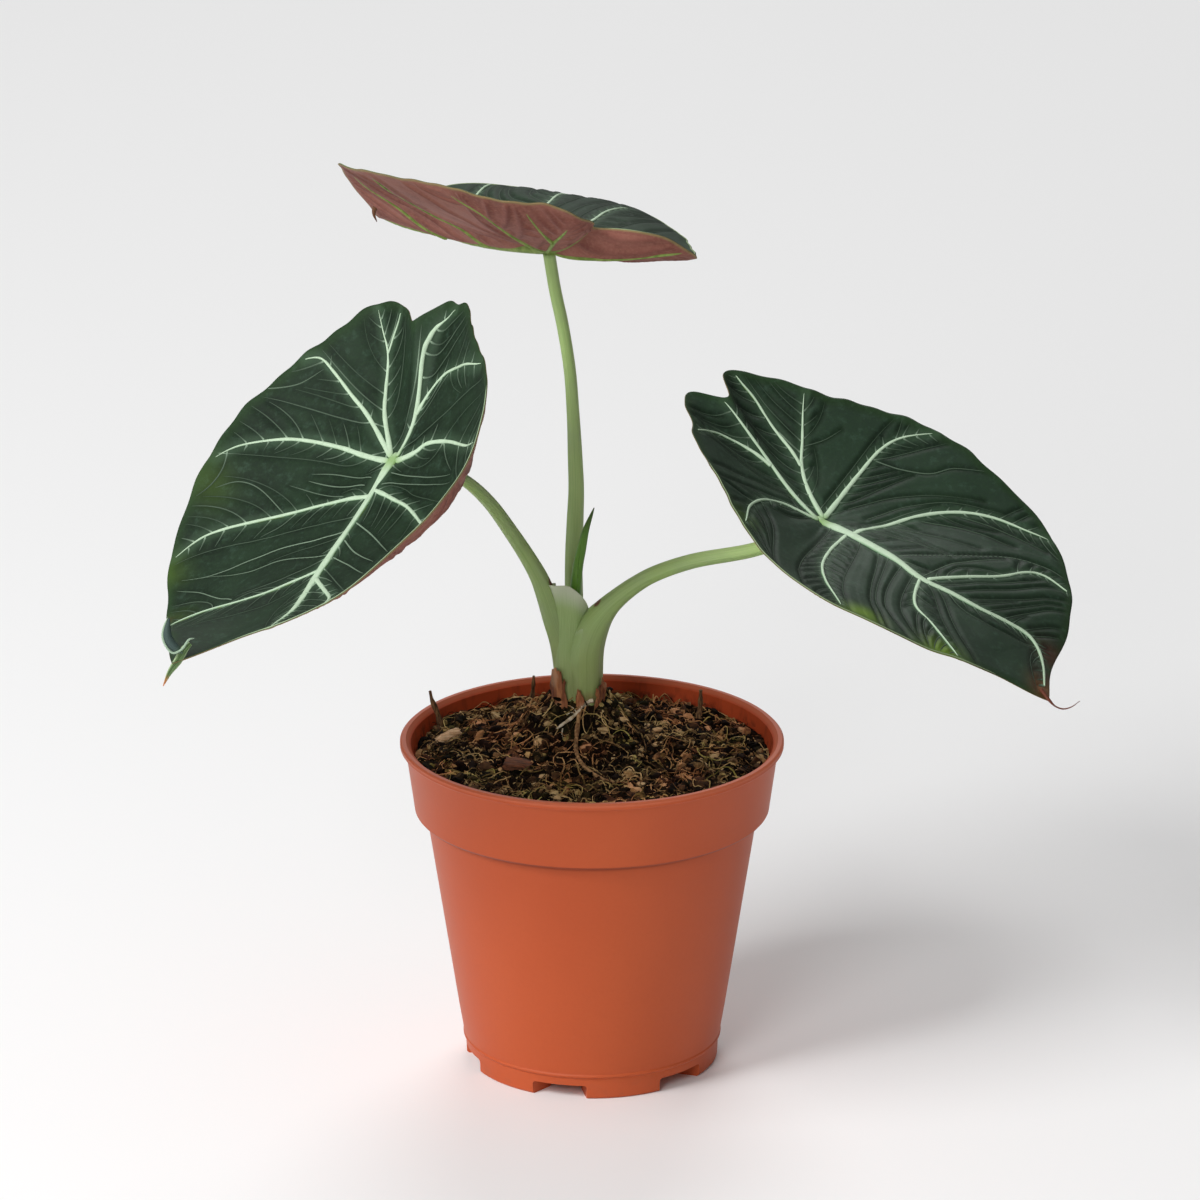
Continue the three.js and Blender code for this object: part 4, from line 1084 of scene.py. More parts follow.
RIGHT_LEAF = {
    "side": "right", "at": (61.8, -30, 164.3), "heading": -42, "droop": 20, "roll": -1,
    "quilt": 0.3, "gleam": 1.0, "spacing": 3.7, "midrib_holds": 0.62, "fine_shows": 0.45,
    "spokes": [
        (0, 84, 5.5, -3.5), (10, 75, 5.5, -3.5), (18, 73, 5.5, -2.5), (27, 71, 5, 0),
        (38, 68, 4.5, 2.5), (50, 64, 4, 6), (62, 57, 5, 10), (74, 50, 5.5, 14), (88, 46, 6, 16),
        (105, 42.5, 6, 16.5), (120, 40, 6, 16.5), (135, 39.5, 6, 16.5), (147, 42, 6, 16.5),
        (156, 46, 6, 16), (165, 50.5, 5.5, 15.5), (172, 51, 5.5, 15.5), (180, 42, 5, 15),
        (188, 49, 5, 14), (197, 47.5, 5, 14), (204, 43.5, 5, 14), (214, 41, 5, 14),
        (228, 38, 5, 14), (242, 36.5, 5, 14), (256, 37, 4.5, 13), (270, 40, 4.5, 12),
        (284, 45, 4, 11), (298, 55.5, 4, 13), (310, 64, 5, 14), (322, 68, 5.5, 12.5),
        (333, 71, 5.5, 9), (342, 73, 5.5, 6), (350, 75, 5.5, 2), (360, 84, 5.5, -3.5),
    ],
    "veins": [
        (1.9, 0.45, [
            (-3, 0), (16.5, -1.2), (26, -1.5), (36, -2.5), (44, 0.5), (52, 4.5), (58, 10),
            (63, 13.5), (68, 13), (73, 9.5), (78.5, 3.5),
        ]),
        (1.0, 0.3, [(-1, 1), (-11, 4.5), (-18, 8.5), (-23.5, 13.5), (-30, 19), (-35, 23.5)]),
        (0.65, 0.3, [(-17.5, 8), (-23.5, 9.3), (-32.5, 10), (-40.5, 11), (-46, 10.5)]),
        (1.1, 0.35, [(-1, 1), (-4.5, 11.5), (-7, 20), (-9, 29), (-8, 36), (-3, 43.5)]),
        (1.05, 0.35, [(10, -1), (10.5, 10), (13, 22), (18, 32), (25, 39.5), (34, 45), (40, 48.5)]),
        (0.9, 0.3, [(37, -1.5), (39.5, 8), (43.5, 22), (45, 32), (48, 36.5), (54, 38.5)]),
        (1.0, 0.3, [(-1, -1), (-11, -0.8), (-24.5, -0.2), (-37, -1), (-44, -2.6), (-47.5, -5.5)]),
        (0.6, 0.3, [(-21, -0.5), (-27, -2.2), (-32, -5), (-35.5, -10), (-35, -18)]),
        (0.9, 0.3, [(-1, -1), (-5.5, -4.5), (-9, -8.5), (-10, -16), (-7, -26), (-1, -35)]),
        (0.85, 0.25, [(9, -1.5), (12.5, -12), (18.5, -23), (26.5, -32), (36, -40)]),
        (0.75, 0.3, [(36, -3), (41, -11), (46, -16), (53, -18), (60, -20.5), (67, -23)]),
    ],
    "faint": [
        (0.6, [(-7.5, 26), (-1, 29.5), (5, 34.5), (8, 40.5), (14, 46.5)]),
        (0.7, [(25, 0.5), (29, 9), (33.5, 21.5), (38.5, 32.5), (46, 39.5), (51, 41.5)]),
        (0.6, [(35.5, -1.5), (34.5, 11.5), (36.5, 24), (38.5, 30.5)]),
        (0.4, [(-22, 12.5), (-20, 18.5), (-19.5, 24)]),
        (0.3, [(0, 9), (4, 20), (10, 30), (20, 41)]),
        (0.35, [(12, 5), (22, 11), (32, 15)]),
        (0.4, [(13, 13), (22, 20), (32, 27)]),
        (0.4, [(15, 22), (24, 30), (36, 37)]),
        (0.35, [(20, 32), (29, 38), (42, 44)]),
        (0.35, [(6, 10), (9, 22), (15, 33), (26, 43)]),
    ],
    "rims": [(232, 352, 0.45)],
    "aged": [(47, -42, 5.5, 1.0), (64, -27, 6, 1.0), (-2.5, -37, 5, 0.3)],
    "dry": [(81, 1.5, 4.5, 0.9)],
    "red": [(71, 16, 5, 0.8), (78, 7, 4, 0.8)],
}
TOP_LEAF = {
    "side": "top", "at": (-11.7, 4, 230), "heading": 128, "droop": 5.5, "roll": 0,
    "quilt": 0.24, "gleam": 0.6, "spacing": 4.4, "midrib_holds": 0.9, "fine_shows": 0.5,
    "spokes": [
        (0, 78, -2.5, -0.5), (6, 72, 0, 5), (12, 69, 4, 11), (22, 63.5, 7, 18), (35, 58, 9.5, 23.5),
        (48, 52.5, 10.5, 25), (62, 47, 11, 26), (78, 41, 10.5, 25.5), (95, 37.5, 9.5, 25),
        (112, 36, 8.5, 23), (128, 35.5, 7.5, 21), (144, 35, 7, 20), (158, 33.5, 5.5, 15.5),
        (170, 28, 4, 12), (180, 21, 3.2, 9.5), (188, 24, 3, 8.5), (196, 32, 1, 7.5),
        (205, 38, -1.5, 4.5), (215, 41, -2.5, -1), (228, 40, -2.8, -4), (245, 40, -1.5, -4),
        (262, 43, 1.5, -4), (280, 49, 3.5, -3.5), (297, 58, 5, -2), (315, 65, 6, 0),
        (330, 68, 6, 4), (345, 71, 4, 6), (354, 73, 0, 3.5), (360, 78, -2.5, -0.5),
    ],
    "veins": [
        (1.8, 0.6, [(-3, 0), (22, 0), (46, -1), (69, 0)]),
        (0.75, 0.4, [(0, 1), (-5, 15), (-7, 25), (-4, 32)]),
        (0.7, 0.4, [(24, 0), (32, 10), (33, 21), (27, 35)]),
        (0.65, 0.4, [(45, 0), (51, 8), (54, 18), (52, 24)]),
        (0.75, 0.4, [(-1, 1), (-12, 7), (-21, 10)]),
        (1.1, 0.6, [(-1, 0), (-10, 0.5), (-19.5, 0.8)]),
        (0.6, 0.45, [(-12, 7), (-17, 15), (-20, 20)]),
        (0.7, 0.4, [(-1, -1), (-14, -6), (-24, -13), (-31, -19)]),
        (0.65, 0.4, [(-1, -1), (-11, -15), (-17, -24), (-20, -29)]),
        (0.7, 0.4, [(1, -1), (3, -12), (5, -19.5), (9.5, -27), (14, -35)]),
        (0.7, 0.4, [(17, 0), (19.5, -8), (22, -14.5), (26, -21), (36, -32), (42, -39)]),
        (0.6, 0.4, [(44, 0), (51, -14), (57, -22), (61, -27)]),
    ],
    "faint": [],
    "rims": [(1, 178, 0.4), (182, 359, 0.4)],
    "aged": [(70, 0, 8, 0.4)],
    "dry": [(76, 0, 4, 0.5)],
    "red": [],
}
LEAF_CELLS = 218
HUB_SHIFT = 0.33
BLADE_HALF = 0.24
# Each main vein: how far it stands out above and below, its sides and its steps.
MIDRIB = (0.62, 1.3, 24, 120)
SIDE_VEIN = (0.5, 1.0, 18, 56)
VEIN_WIDTHS = 0.88
VEIN_REACHES = 7
MARGIN_GAP = 1.3
MARGIN_RIPPLE = 0.35
# The relief of the blade: the swelling between veins and the crease along each of them as
# shares of the leaf's quilt, then its large waves and the groove by the main veins.
PUFF_SHARE = 1.25
CREASE_SHARE = 0.9
CREASE_R = 0.75
WAVE_HEIGHT = 0.35
GROOVE_DEPTH = 0.16
# The growth of fine veins: length of a step, most steps, distances and angles in degrees.
FINE_STEP = 0.6
FINE_MOST_STEPS = 110
FINE_LEAST_STEPS = 4
FINE_FIRST_AT = (2.5, 4)
FINE_TURN = (50, 64)
FINE_BEND = (0.035, 0.06)
FINE_MEETS = 0.6
FINE_CROWDED = 0.75
FINE_CROWDED_AT_START = 0.3
FINE_HALF = 0.2
SPUR_HALF = 0.13
FINE_SIDES = 6
RIM_HALF = 0.22
RIM_INSET = 0.36


def axes_of(leaf):
    """Directions towards the leaf's tip, towards its left side and square off its upper side."""
    heading, droop, roll = (math.radians(leaf[key]) for key in ("heading", "droop", "roll"))
    level_out = math.cos(droop)
    tip = Vector((math.cos(heading) * level_out, math.sin(heading) * level_out, -math.sin(droop)))
    level = Vector((-math.sin(heading), math.cos(heading), 0))
    left = level * math.cos(roll) + tip.cross(level) * math.sin(roll)
    return np.array([tip, left, tip.cross(left)])


def on_blade(leaf, x, y):
    """Points of the blade's middle above places in the leaf's plane."""
    angle = np.degrees(np.arctan2(y, x)) % 360
    reach, middle, edge = through_rows(leaf["spokes"], angle).T
    out = np.hypot(x, y) / reach
    rise = 4 * middle * out * (1 - out) + edge * out * (2 * out - 1)
    return np.array(leaf["at"]) + np.column_stack([x, y, rise]) @ axes_of(leaf)


def off_blade(leaf, x, y, lift):
    """The same points, lifted square off the blade."""
    along = on_blade(leaf, x + 1, y) - on_blade(leaf, x - 1, y)
    across = on_blade(leaf, x, y + 1) - on_blade(leaf, x, y - 1)
    normal = np.cross(along, across)
    normal /= np.linalg.norm(normal, axis=1)[:, None]
    return on_blade(leaf, x, y) + normal * np.reshape(lift, (-1, 1))


def margin_of(leaf, turn):
    """How far the rippled margin is from the stem, for turns in radians."""
    reach = through_rows(leaf["spokes"], np.degrees(turn) % 360)[:, 0]
    return reach - MARGIN_RIPPLE - MARGIN_RIPPLE * np.sin(turn * 23) * np.sin(turn * 7 + 1)


def inside(leaf, places, gap):
    """How much further each place could go outwards before it is this near the margin."""
    return margin_of(leaf, np.arctan2(places[:, 1], places[:, 0])) - gap - np.hypot(*places.T)


def steps_up(value, low, high):
    """0 below low, 1 above high, and a smooth step between them."""
    t = np.clip((value - low) / (high - low), 0, 1)
    return t * t * (3 - 2 * t)


def vein_line(leaf, points, steps, reaches=True):
    """A smooth line through a vein's points, with a last thin stretch that nearly reaches the
    margin: places, and the direction along it."""
    points = [np.array(point, float) for point in points]
    way = (points[-1] - points[-2]) / np.linalg.norm(points[-1] - points[-2])
    spare = float(np.clip(inside(leaf, points[-1][None], MARGIN_GAP)[0], 0, VEIN_REACHES))
    if reaches and spare > 0.5:
        points.append(points[-1] + way * spare)
    rows = np.array([points[0]] + points + [points[-1]])
    spans = len(points) - 1
    at = np.linspace(0, spans, steps + 1)
    i = np.minimum(at.astype(int), spans - 1)
    t = (at - i)[:, None]
    before, start, end, after = rows[i], rows[i + 1], rows[i + 2], rows[i + 3]
    line = start + 0.5 * t * (end - before + t * (2 * before - 5 * start + 4 * end - after))
    line += 0.5 * t ** 3 * (3 * (start - end) + after - before)
    outside = np.flatnonzero(inside(leaf, line, MARGIN_GAP * 0.6) < 0)
    if len(outside) and outside[0] > 4:
        line = line[:outside[0]]
    along = np.gradient(line, axis=0)
    return line, along / np.linalg.norm(along, axis=1)[:, None]


def away_from(lines, places):
    """The distance of each place to each line of points, and the share along the nearest."""
    far, shares = [], []
    for line in lines:
        start, span = line[:-1], np.diff(line, axis=0)
        length = np.maximum((span ** 2).sum(1), 1e-9)
        gap = places[:, None, :] - start
        t = np.clip((gap * span).sum(2) / length, 0, 1)
        distance = np.linalg.norm(gap - t[..., None] * span, axis=2)
        best = distance.argmin(1)
        rows = np.arange(len(places))
        far.append(distance[rows, best])
        shares.append((best + t[rows, best]) / len(span))
    return np.array(far), np.array(shares)


def half_width(leaf, i, share):
    """Half the width of a main vein at shares along it. The midrib keeps its width for longer."""
    start, end, _ = leaf["veins"][i]
    holds = leaf["midrib_holds"] if i == 0 else 0.62
    return VEIN_WIDTHS * (end + (start - end) * (1 - share ** holds))


def fine_veins(leaf, lines):
    """Fine veins: first those listed under faint, then side veins that leave the main ones on both
    sides and turn to run with the next main vein. Each ends where it meets another vein or the
    margin. Gives rows of: places, strength, whether it comes from a main vein."""
    draw = random.Random(leaf["side"])
    trails = []
    for strength, points in leaf["faint"]:
        trails.append((vein_line(leaf, points, 40, False)[0], strength, False))
    coarse = np.concatenate([line for line, _ in lines])
    headings = np.concatenate([along for _, along in lines])
    owner = np.concatenate([np.full(len(line), i) for i, (line, _) in enumerate(lines)])
    placed = np.concatenate([trail for trail, _, _ in trails]) if trails else np.zeros((1, 2))
    for parent, (line, along) in enumerate(lines):
        length = np.linalg.norm(np.diff(line, axis=0), axis=1).sum()
        others = owner != parent
        marks = {-1: draw.uniform(*FINE_FIRST_AT), 1: draw.uniform(*FINE_FIRST_AT)}
        while min(marks.values()) < length - 0.5:
            hand = min(marks, key=marks.get)
            k = min(int(marks[hand] / length * (len(line) - 1)), len(line) - 1)
            marks[hand] += leaf["spacing"] * draw.uniform(0.8, 1.2)
            turn = hand * math.radians(draw.uniform(*FINE_TURN))
            cos, sin = math.cos(turn), math.sin(turn)
            x, y = along[k]
            way = np.array((x * cos - y * sin, x * sin + y * cos))
            place = line[k].copy()
            bend = draw.uniform(*FINE_BEND)
            trail = [place]
            for step in range(FINE_MOST_STEPS):
                gaps = np.hypot(*(coarse[others] - place).T)
                nearest = gaps.argmin()
                way = way * (1 - bend) + headings[others][nearest] * bend
                way /= np.linalg.norm(way)
                place = place + way * FINE_STEP
                clear = FINE_CROWDED if step > 3 else FINE_CROWDED_AT_START
                crowded = np.hypot(*(placed - place).T).min() < clear
                at_margin = inside(leaf, place[None], 1.0)[0] < 0
                if gaps[nearest] < FINE_MEETS or crowded or at_margin:
                    break
                trail.append(place)
            if len(trail) > FINE_LEAST_STEPS:
                trail = np.array(trail)
                trails.append((trail, draw.uniform(0.35, 1), True))
                placed = np.concatenate([placed, trail])
    return trails


def lie_of_blade(leaf, lines, tree, strengths, places):
    """What lies near places on the blade, and how its face swells and sinks there: gaps to the
    main veins and to the margin, crease and puff from 0 to 1, and relief in millimetres."""
    far, share = away_from([line for line, _ in lines], places)
    half = np.array([half_width(leaf, i, share[i]) for i in range(len(share))])
    beside = (far - half).min(0)
    margin = inside(leaf, places, 0)
    near = [tree.find((x, y, 0))[1:] for x, y in places]
    fine = np.array([distance for _, distance in near])
    strength = np.array([strengths[index] for index, _ in near])
    calm = steps_up(beside, 0.1, 2.2) * steps_up(margin, 0.3, 3.5)
    crease = strength * np.exp(-(fine / CREASE_R) ** 2) * calm
    puff = steps_up(np.minimum(fine, beside), 0.2, 0.45 * leaf["spacing"]) * calm
    waves = np.array([cloud(x, y, 13, 60.0) + 0.5 * cloud(x, y, 6, 64.0) for x, y in places])
    groove = np.exp(-((beside - 0.3) / 0.8) ** 2)
    relief = leaf["quilt"] * (PUFF_SHARE * puff * (0.4 + 0.6 * strength) - CREASE_SHARE * crease)
    relief += WAVE_HEIGHT * waves * steps_up(margin, 0, 6) - GROOVE_DEPTH * groove
    return {"beside": beside, "edge": margin, "crease": crease, "puff": puff, "relief": relief}


def leaf_finish():
    """Velvety dark green above and maroon below, by the numbers that the blade's points hold, with
    painted sheen on the swellings and in flecks and painted shade in the creases.
    """
    made, sockets, place = finish("leaf_skin", Specular_IOR_Level=0.16)
    under = place.attribute("under")
    crease, puff, gleam = (place.attribute(name) for name in ("crease", "puff", "gleam"))
    edge, beside = place.attribute("edge"), place.attribute("beside")
    aged, dry, red = (place.attribute(name) for name in ("aged", "dry", "red"))
    clouds = place.noise(60, 4)
    cells = place.noise(1100, 4, (1, 1, 1), 0.6)
    sheen_and_mottle = place.noise(380, 5, (1, 1, 1), 0.72)
    color = clouds.rises(0.35, 0.65).blend(srgb(17, 31, 18), srgb(26, 44, 27))
    # Painted sheen: the swellings between veins are painted lighter grey-green, the more so on
    # glossier leaves.
    color = (puff * gleam * 0.5).blend(color, srgb(50, 68, 54))
    color = (cells.rises(0.4, 0.75) * 0.3).blend(color, srgb(44, 68, 42))
    # Painted sheen: grey-green flecks over the upper side stand in for soft highlights.
    color = (sheen_and_mottle.rises(0.5, 0.72) * 0.4).blend(color, srgb(62, 86, 70))
    # Painted shade: the creases along the fine veins are darkened.
    color = (crease * 0.7).blend(color, srgb(18, 32, 22))
    color = (beside.rises(2.4, 0.2) * 0.22).blend(color, srgb(92, 120, 94))
    color = (edge.rises(3.5, 0.0) * 0.3).blend(color, srgb(54, 84, 44))
    color = (aged * clouds.rises(0.3, 0.55) * 0.9).blend(color, srgb(98, 128, 30))
    below = clouds.rises(0.35, 0.65).blend(srgb(124, 74, 64), srgb(144, 92, 80))
    below = (cells.rises(0.4, 0.7) * 0.4).blend(below, srgb(162, 116, 98))
    below = (sheen_and_mottle.rises(0.5, 0.7) * 0.35).blend(below, srgb(96, 50, 44))
    # Painted shade: the creases are darkened on the underside too.
    below = (crease * 0.6).blend(below, srgb(84, 40, 38))
    below = (edge.rises(1.0, 0.2) * 0.6).blend(below, srgb(136, 132, 84))
    color = under.blend(color, below)
    color = (red * 0.75).blend(color, srgb(78, 38, 34))
    color = (dry * 0.9).blend(color, srgb(120, 78, 46))
    rough = 0.66 - gleam * 0.16 + cells * 0.08 + under * 0.05
    feed(sockets, Base_Color=color, Roughness=rough)
    feed(sockets, Normal=bumps(cells * 0.5 + place.noise(320, 3) * 0.5, 0.0002, 0.5))
    return made


def vein_finish():
    """Pale silver along the crest above, greener at the hub and below."""
    made, sockets, place = finish("vein_skin", Specular_IOR_Level=0.2)
    under, crest, hub = place.attribute("under"), place.attribute("crest"), place.attribute("hub")
    grain = place.noise(500, 3)
    above = crest.rises(0.1, 0.85).blend(srgb(112, 146, 112), srgb(190, 212, 184))
    above = (grain.rises(0.4, 0.7) * 0.35).blend(above, srgb(164, 190, 158))
    above = (hub * 0.8).blend(above, srgb(126, 164, 86))
    below = grain.rises(0.35, 0.65).blend(srgb(104, 126, 56), srgb(132, 152, 78))
    feed(sockets, Base_Color=under.blend(above, below), Roughness=0.55 + grain * 0.1)
    feed(sockets, Normal=bumps(grain, 0.0002, 0.5))
    return made


def fine_vein_finish():
    """As dark as the blade where a fine vein fades out, and pale where it stands out."""
    made, sockets, place = finish("fine_vein_skin", Specular_IOR_Level=0.16)
    fade, edge = place.attribute("fade"), place.attribute("rim")
    color = fade.blend(srgb(32, 50, 34), srgb(178, 204, 176))
    color = edge.blend(color, fade.blend(srgb(112, 122, 70), srgb(166, 188, 156)))
    feed(sockets, Base_Color=color, Roughness=0.6 + fade * 0.05)
    return made


leaf_skin = leaf_finish()
vein_skin = vein_finish()
fine_vein_skin = fine_vein_finish()


def strip(bm, layers, sides, spots_at, values_at, steps):
    """A closed slim length over the blade. Spots_at gives its places for steps along and turns
    round it, values_at the numbers that it holds there. It has no width at its two ends."""
    made = bmesh.ops.create_grid(bm, x_segments=steps, y_segments=sides, size=0.5)["verts"]
    k = np.array([round((v.co.x + 0.5) * steps) for v in made])
    turn = np.array([2 * math.pi * (v.co.y + 0.5) for v in made])
    for vert, spot, *values in zip(made, spots_at(k, turn), *values_at(k, turn)):
        vert.co = Vector(spot * MM)
        for layer, value in zip(layers, values):
            vert[layer] = float(value)


def make_blade(leaf, lines, tree, strengths):
    """The blade is a square grid bent to the margin, doubled for its upper and lower face. The
    layer says which point each vertex is, counted on from the upper face to the lower."""
    bm = bmesh.new()
    bmesh.ops.create_grid(bm, x_segments=LEAF_CELLS, y_segments=LEAF_CELLS, size=1)
    layer = bm.verts.layers.int.new("corner")
    count = len(bm.verts)
    square = np.empty((count, 2))
    for i, vert in enumerate(bm.verts):
        vert[layer] = i
        square[i] = vert.co.x, vert.co.y
    shell = bmesh.ops.extrude_face_region(bm, geom=bm.faces[:])["geom"]
    for item in shell:
        if isinstance(item, bmesh.types.BMVert):
            item[layer] += count
    x, y = disc(square[:, 0], square[:, 1])
    x, y = (x + y) * math.sqrt(0.5), (y - x) * math.sqrt(0.5)
    turn = np.arctan2(y, x + HUB_SHIFT)
    span = HUB_SHIFT * np.cos(turn)
    span += np.sqrt(np.maximum(span ** 2 - HUB_SHIFT ** 2 + 1, 0))
    out = np.minimum(np.hypot(x + HUB_SHIFT, y) / span, 1)
    plain = through_rows(leaf["spokes"], np.degrees(turn) % 360)[:, 0]
    reach = plain + (margin_of(leaf, turn) - plain) * steps_up(out, 0.7, 1)
    x, y = out * reach * np.cos(turn), out * reach * np.sin(turn)
    lie = lie_of_blade(leaf, lines, tree, strengths, np.column_stack([x, y]))
    thin = BLADE_HALF * (1 - 0.5 * np.exp(-(lie["edge"] / 0.5) ** 2))
    top = off_blade(leaf, x, y, thin + lie["relief"])
    bottom = off_blade(leaf, x, y, lie["relief"] - thin - 0.3 * lie["crease"])
    values = {name: lie[name] for name in ("crease", "puff", "edge", "beside")}
    for name in ("aged", "dry", "red"):
        values[name] = np.zeros(count)
        for px, py, size, strength in leaf[name]:
            spot = strength * np.exp(-((x - px) ** 2 + (y - py) ** 2) / size ** 2)
            values[name] = np.maximum(values[name], spot)
    name = f"blade_{leaf['side']}"
    mesh = piece(name + "_skin", bm, leaf_skin, [name]).data
    corner = np.empty(2 * count, np.int32)
    mesh.attributes["corner"].data.foreach_get("value", corner)
    mesh.vertices.foreach_set("co", (np.concatenate([top, bottom])[corner] * MM).ravel())
    for name, numbers in values.items():
        set_values(mesh, name, np.tile(numbers, 2)[corner])
    set_values(mesh, "under", (corner >= count).astype(float))
    set_values(mesh, "gleam", np.full(2 * count, float(leaf["gleam"])))
    mesh.attributes.remove(mesh.attributes["corner"])
    mesh.update()
    check = bmesh.new()
    check.from_mesh(mesh)
    if check.calc_volume(signed=True) < 0:
        mesh.flip_normals()
    check.free()


def to_left(line, along, k, spread):
    """Places this far to the left of steps k along a line."""
    return line[k, 0] - along[k, 1] * spread, line[k, 1] + along[k, 0] * spread


def make_veins(leaf, lines):
    bm = bmesh.new()
    layers = [bm.verts.layers.float.new(name) for name in ("under", "crest", "hub")]
    for i, (line, along) in enumerate(lines):
        steps = len(line) - 1
        above, below, sides, _ = MIDRIB if i == 0 else SIDE_VEIN

        def spots_at(k, turn):
            share = k / steps
            ends = np.sqrt(np.clip(np.minimum(share / 0.03, (1 - share) / 0.3), 0, 1))
            half = half_width(leaf, i, share) * ends * (1 + 0.06 * np.sin(share * 53 + i * 9))
            high = above * (0.75 + 0.25 * (1 - share)) * np.minimum(1, 2 * ends)
            deep = below * (0.35 + 0.65 * (1 - share)) * ends
            rise = np.sin(turn)
            lift = np.where(rise > 0, high * np.abs(rise) ** 0.8, deep * rise)
            x, y = to_left(line, along, k, half * np.cos(turn))
            return off_blade(leaf, x, y, lift)

        def values_at(k, turn):
            hub = np.exp(-(line[k, 0] ** 2 + line[k, 1] ** 2) / 7)
            return (turn > math.pi).astype(float), np.maximum(np.sin(turn), 0), hub

        strip(bm, layers, sides, spots_at, values_at, steps)
    bmesh.ops.remove_doubles(bm, verts=bm.verts[:], dist=1e-7)
    name = f"veins_{leaf['side']}"
    piece(name + "_net", bm, vein_skin, [name])


def make_fine_veins(leaf, lines, trails, tree, strengths):
    """The fine veins lie in the creases, with a spur where each leaves a main vein. A thin pale
    rim runs along the stretches of margin that show it."""
    bm = bmesh.new()
    layers = [bm.verts.layers.float.new(name) for name in ("fade", "rim")]
    rows = []
    for trail, strength, spur in trails:
        lie = lie_of_blade(leaf, lines, tree, strengths, trail)
        gap = np.maximum(lie["beside"], 0)
        share = np.linspace(0, 1, len(trail))
        taper = np.sqrt(np.clip(np.minimum(share / 0.06, (1 - share) / 0.4), 0, 1))
        if spur:
            half = (SPUR_HALF + 0.06 * strength + 0.17 * np.exp(-gap / 0.5)) * taper
            fade = strength * (0.14 + 0.1 * np.exp(-gap / 4)) + 0.6 * np.exp(-gap / 0.55)
        else:
            half = FINE_HALF * (0.4 + strength) * taper
            fade = strength * (0.75 - 0.35 * share)
        rows.append((trail, half, lie["relief"] + BLADE_HALF, fade * leaf["fine_shows"], 0))
    for start, stop, strength in leaf["rims"]:
        count = int((stop - start) * 2)
        turn = np.radians(np.linspace(start, stop, count))
        reach = margin_of(leaf, turn) - RIM_INSET
        trail = np.column_stack([reach * np.cos(turn), reach * np.sin(turn)])
        from_end = np.minimum(np.arange(count), np.arange(count)[::-1])
        ends = np.sqrt(np.clip(from_end / 20, 0, 1))
        rows.append((trail, RIM_HALF * ends, 0.1 * ends, np.full(count, strength), 1))
    for trail, half, level, fade, rim in rows:
        along = np.gradient(trail, axis=0)
        along /= np.linalg.norm(along, axis=1)[:, None]

        def spots_at(k, turn):
            x, y = to_left(trail, along, k, half[k] * np.cos(turn))
            width = np.minimum(half[k] / 0.16, 1)
            thick = np.where(np.sin(turn) > 0, 0.24 if rim else 0.14, 0.24)
            return off_blade(leaf, x, y, level[k] + thick * np.sin(turn) * width)

        def values_at(k, turn):
            return np.clip(fade, 0, 1)[k], np.full(len(k), float(rim))

        strip(bm, layers, FINE_SIDES, spots_at, values_at, len(trail) - 1)
    bmesh.ops.remove_doubles(bm, verts=bm.verts[:], dist=1e-7)
    piece(f"fine_veins_{leaf['side']}", bm, fine_vein_skin)


for leaf in (LEFT_LEAF, RIGHT_LEAF, TOP_LEAF):
    lines = []
    for i, (_, _, points) in enumerate(leaf["veins"]):
        steps = (MIDRIB if i == 0 else SIDE_VEIN)[3]
        lines.append(vein_line(leaf, points, steps))
    trails = fine_veins(leaf, lines)
    tree_rows = [(x, y, strength) for trail, strength, _ in trails for x, y in trail]
    tree = KDTree(len(tree_rows))
    for i, (x, y, _) in enumerate(tree_rows):
        tree.insert((x, y, 0), i)
    tree.balance()
    strengths = [strength for _, _, strength in tree_rows]
    make_blade(leaf, lines, tree, strengths)
    make_veins(leaf, lines)
    make_fine_veins(leaf, lines, trails, tree, strengths)

# The drawn-out tips: a folded tail and a rolled edge on the left leaf, a dry thread on the right
# one and a small dry hook on the margin of the top one.

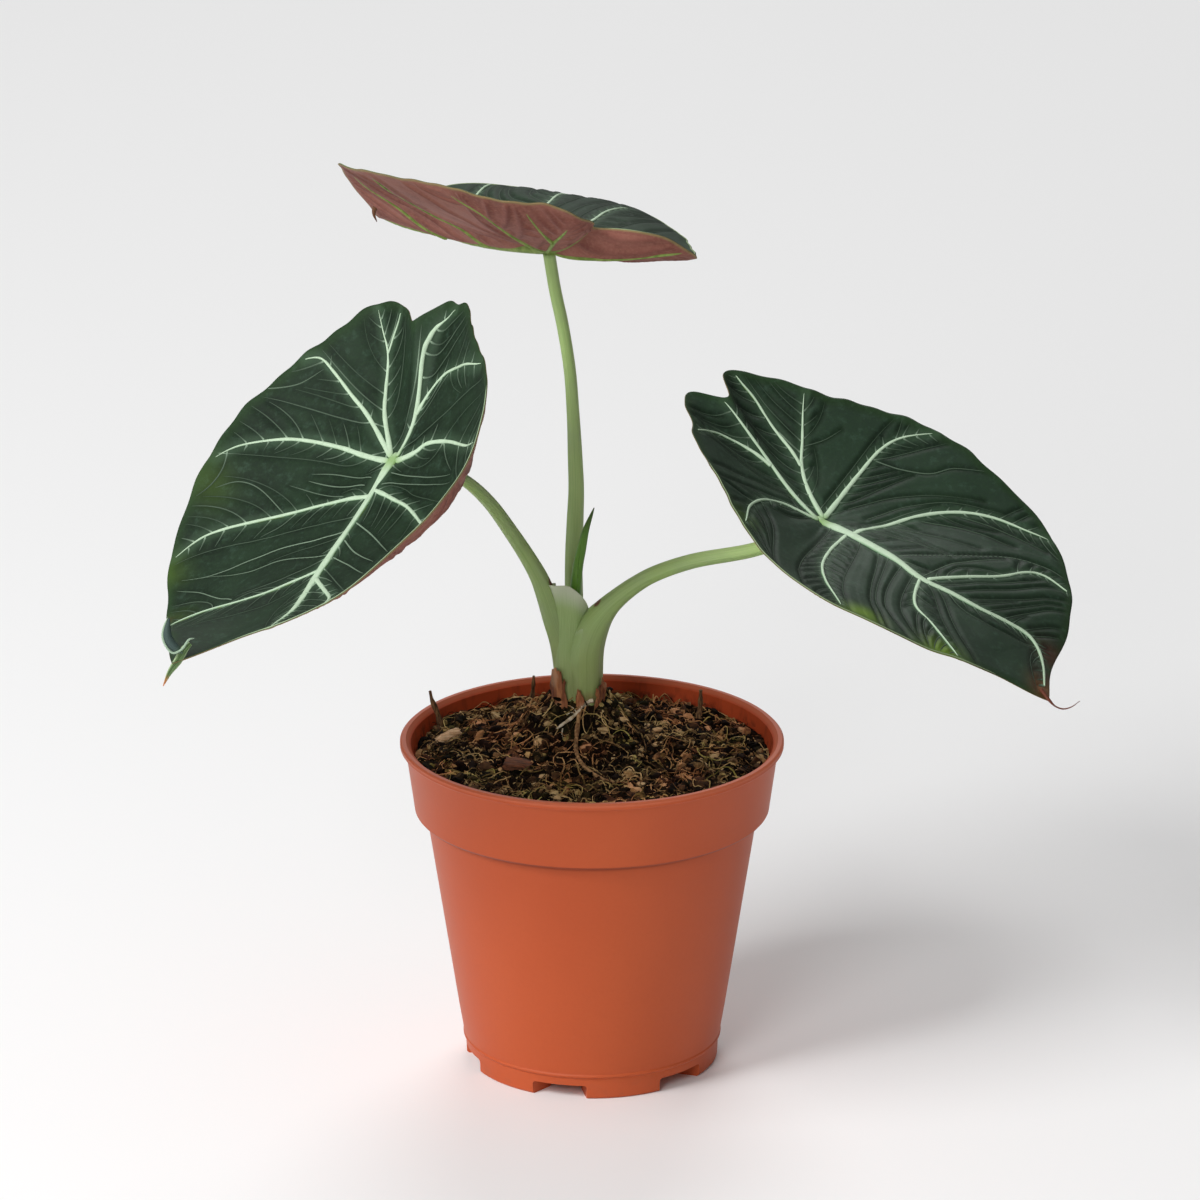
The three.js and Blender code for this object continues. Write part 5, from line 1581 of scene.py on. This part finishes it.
# Each tip: name, how flat it is folded, its colour, the colour of its crests and that of its far
# end, and rows of x, y, z and radius.
TIPS = [
    ("left_tail", 0.38, (84, 108, 66), (150, 170, 130), (190, 116, 70), [
        (-103.4, -99.6, 154.6, 0.6), (-104.9, -100.4, 153.3, 1.05), (-106.6, -100.8, 150.4, 1.1),
        (-108.8, -100.8, 147.2, 0.7), (-110.6, -100.8, 143.4, 0.1),
    ]),
    # The rolled edge is painted blue-grey: a painted sheen inside the curl of the dark leaf.
    ("left_tip_roll", 0, (62, 78, 74), (62, 78, 74), (80, 100, 82), [
        (-108.8, -98.6, 161.2, 0.2), (-109.3, -99.2, 158.9, 0.9), (-109.3, -99.8, 156.8, 1.2),
        (-108.5, -100.2, 155, 1.3), (-107, -100.5, 153.5, 1.1), (-105.4, -100.6, 152.4, 0.4),
    ]),
    ("left_tip_edge", 0, (150, 172, 148), (150, 172, 148), (150, 172, 148), [
        (-109.2, -98.8, 161.4, 0.1), (-110.2, -99.6, 159, 0.28), (-110.5, -100.4, 156.8, 0.3),
        (-109.7, -101.2, 154.6, 0.3), (-107.9, -101.7, 152.8, 0.3), (-105.6, -101.6, 153.7, 0.3),
        (-103.6, -101.2, 156.3, 0.28), (-102.4, -100.6, 156.4, 0.1),
    ]),
    ("right_thread", 0, (104, 58, 44), (104, 58, 44), (112, 88, 84), [
        (117.2, -81.2, 135.6, 0.5), (119.4, -82.1, 132.9, 0.42), (121, -82.1, 131.2, 0.22),
        (123.1, -82.1, 130.4, 0.2), (125.2, -82.1, 130.9, 0.15), (127.5, -82.1, 132.6, 0.08),
    ]),
    ("top_hook", 0, (100, 66, 44), (100, 66, 44), (84, 52, 40), [
        (-58.2, 51, 230.2, 0.8), (-59.5, 51.7, 228, 0.75), (-59.8, 51.7, 226.3, 0.45),
        (-59, 51.7, 224.1, 0.1),
    ]),
]
TIP_END_FROM = (0.72, 0.97)
for name, fold, plain, crest, end, path in TIPS:
    made, sockets, place = finish(name + "_skin", Specular_IOR_Level=0.2, Roughness=0.6)
    uv = along_round(place)
    crests = (uv.part(1) * (4 * math.pi)).math("COSINE").rises(0.2, 0.9)
    color = crests.blend(srgb(*plain), srgb(*crest))
    feed(sockets, Base_Color=uv.part(0).rises(*TIP_END_FROM).blend(color, srgb(*end)))

    def folded(share, turn, radius):
        return radius * (1 - fold + fold * math.cos(2 * turn))

    bm = bmesh.new()
    tube(bm, path, 40, 20, folded)
    piece(name, bm, made, sharp=60)

# ---- Size of the plant ---------------------------------------------------------------------
# The box round everything that renders, apart from the floor.

low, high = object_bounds()
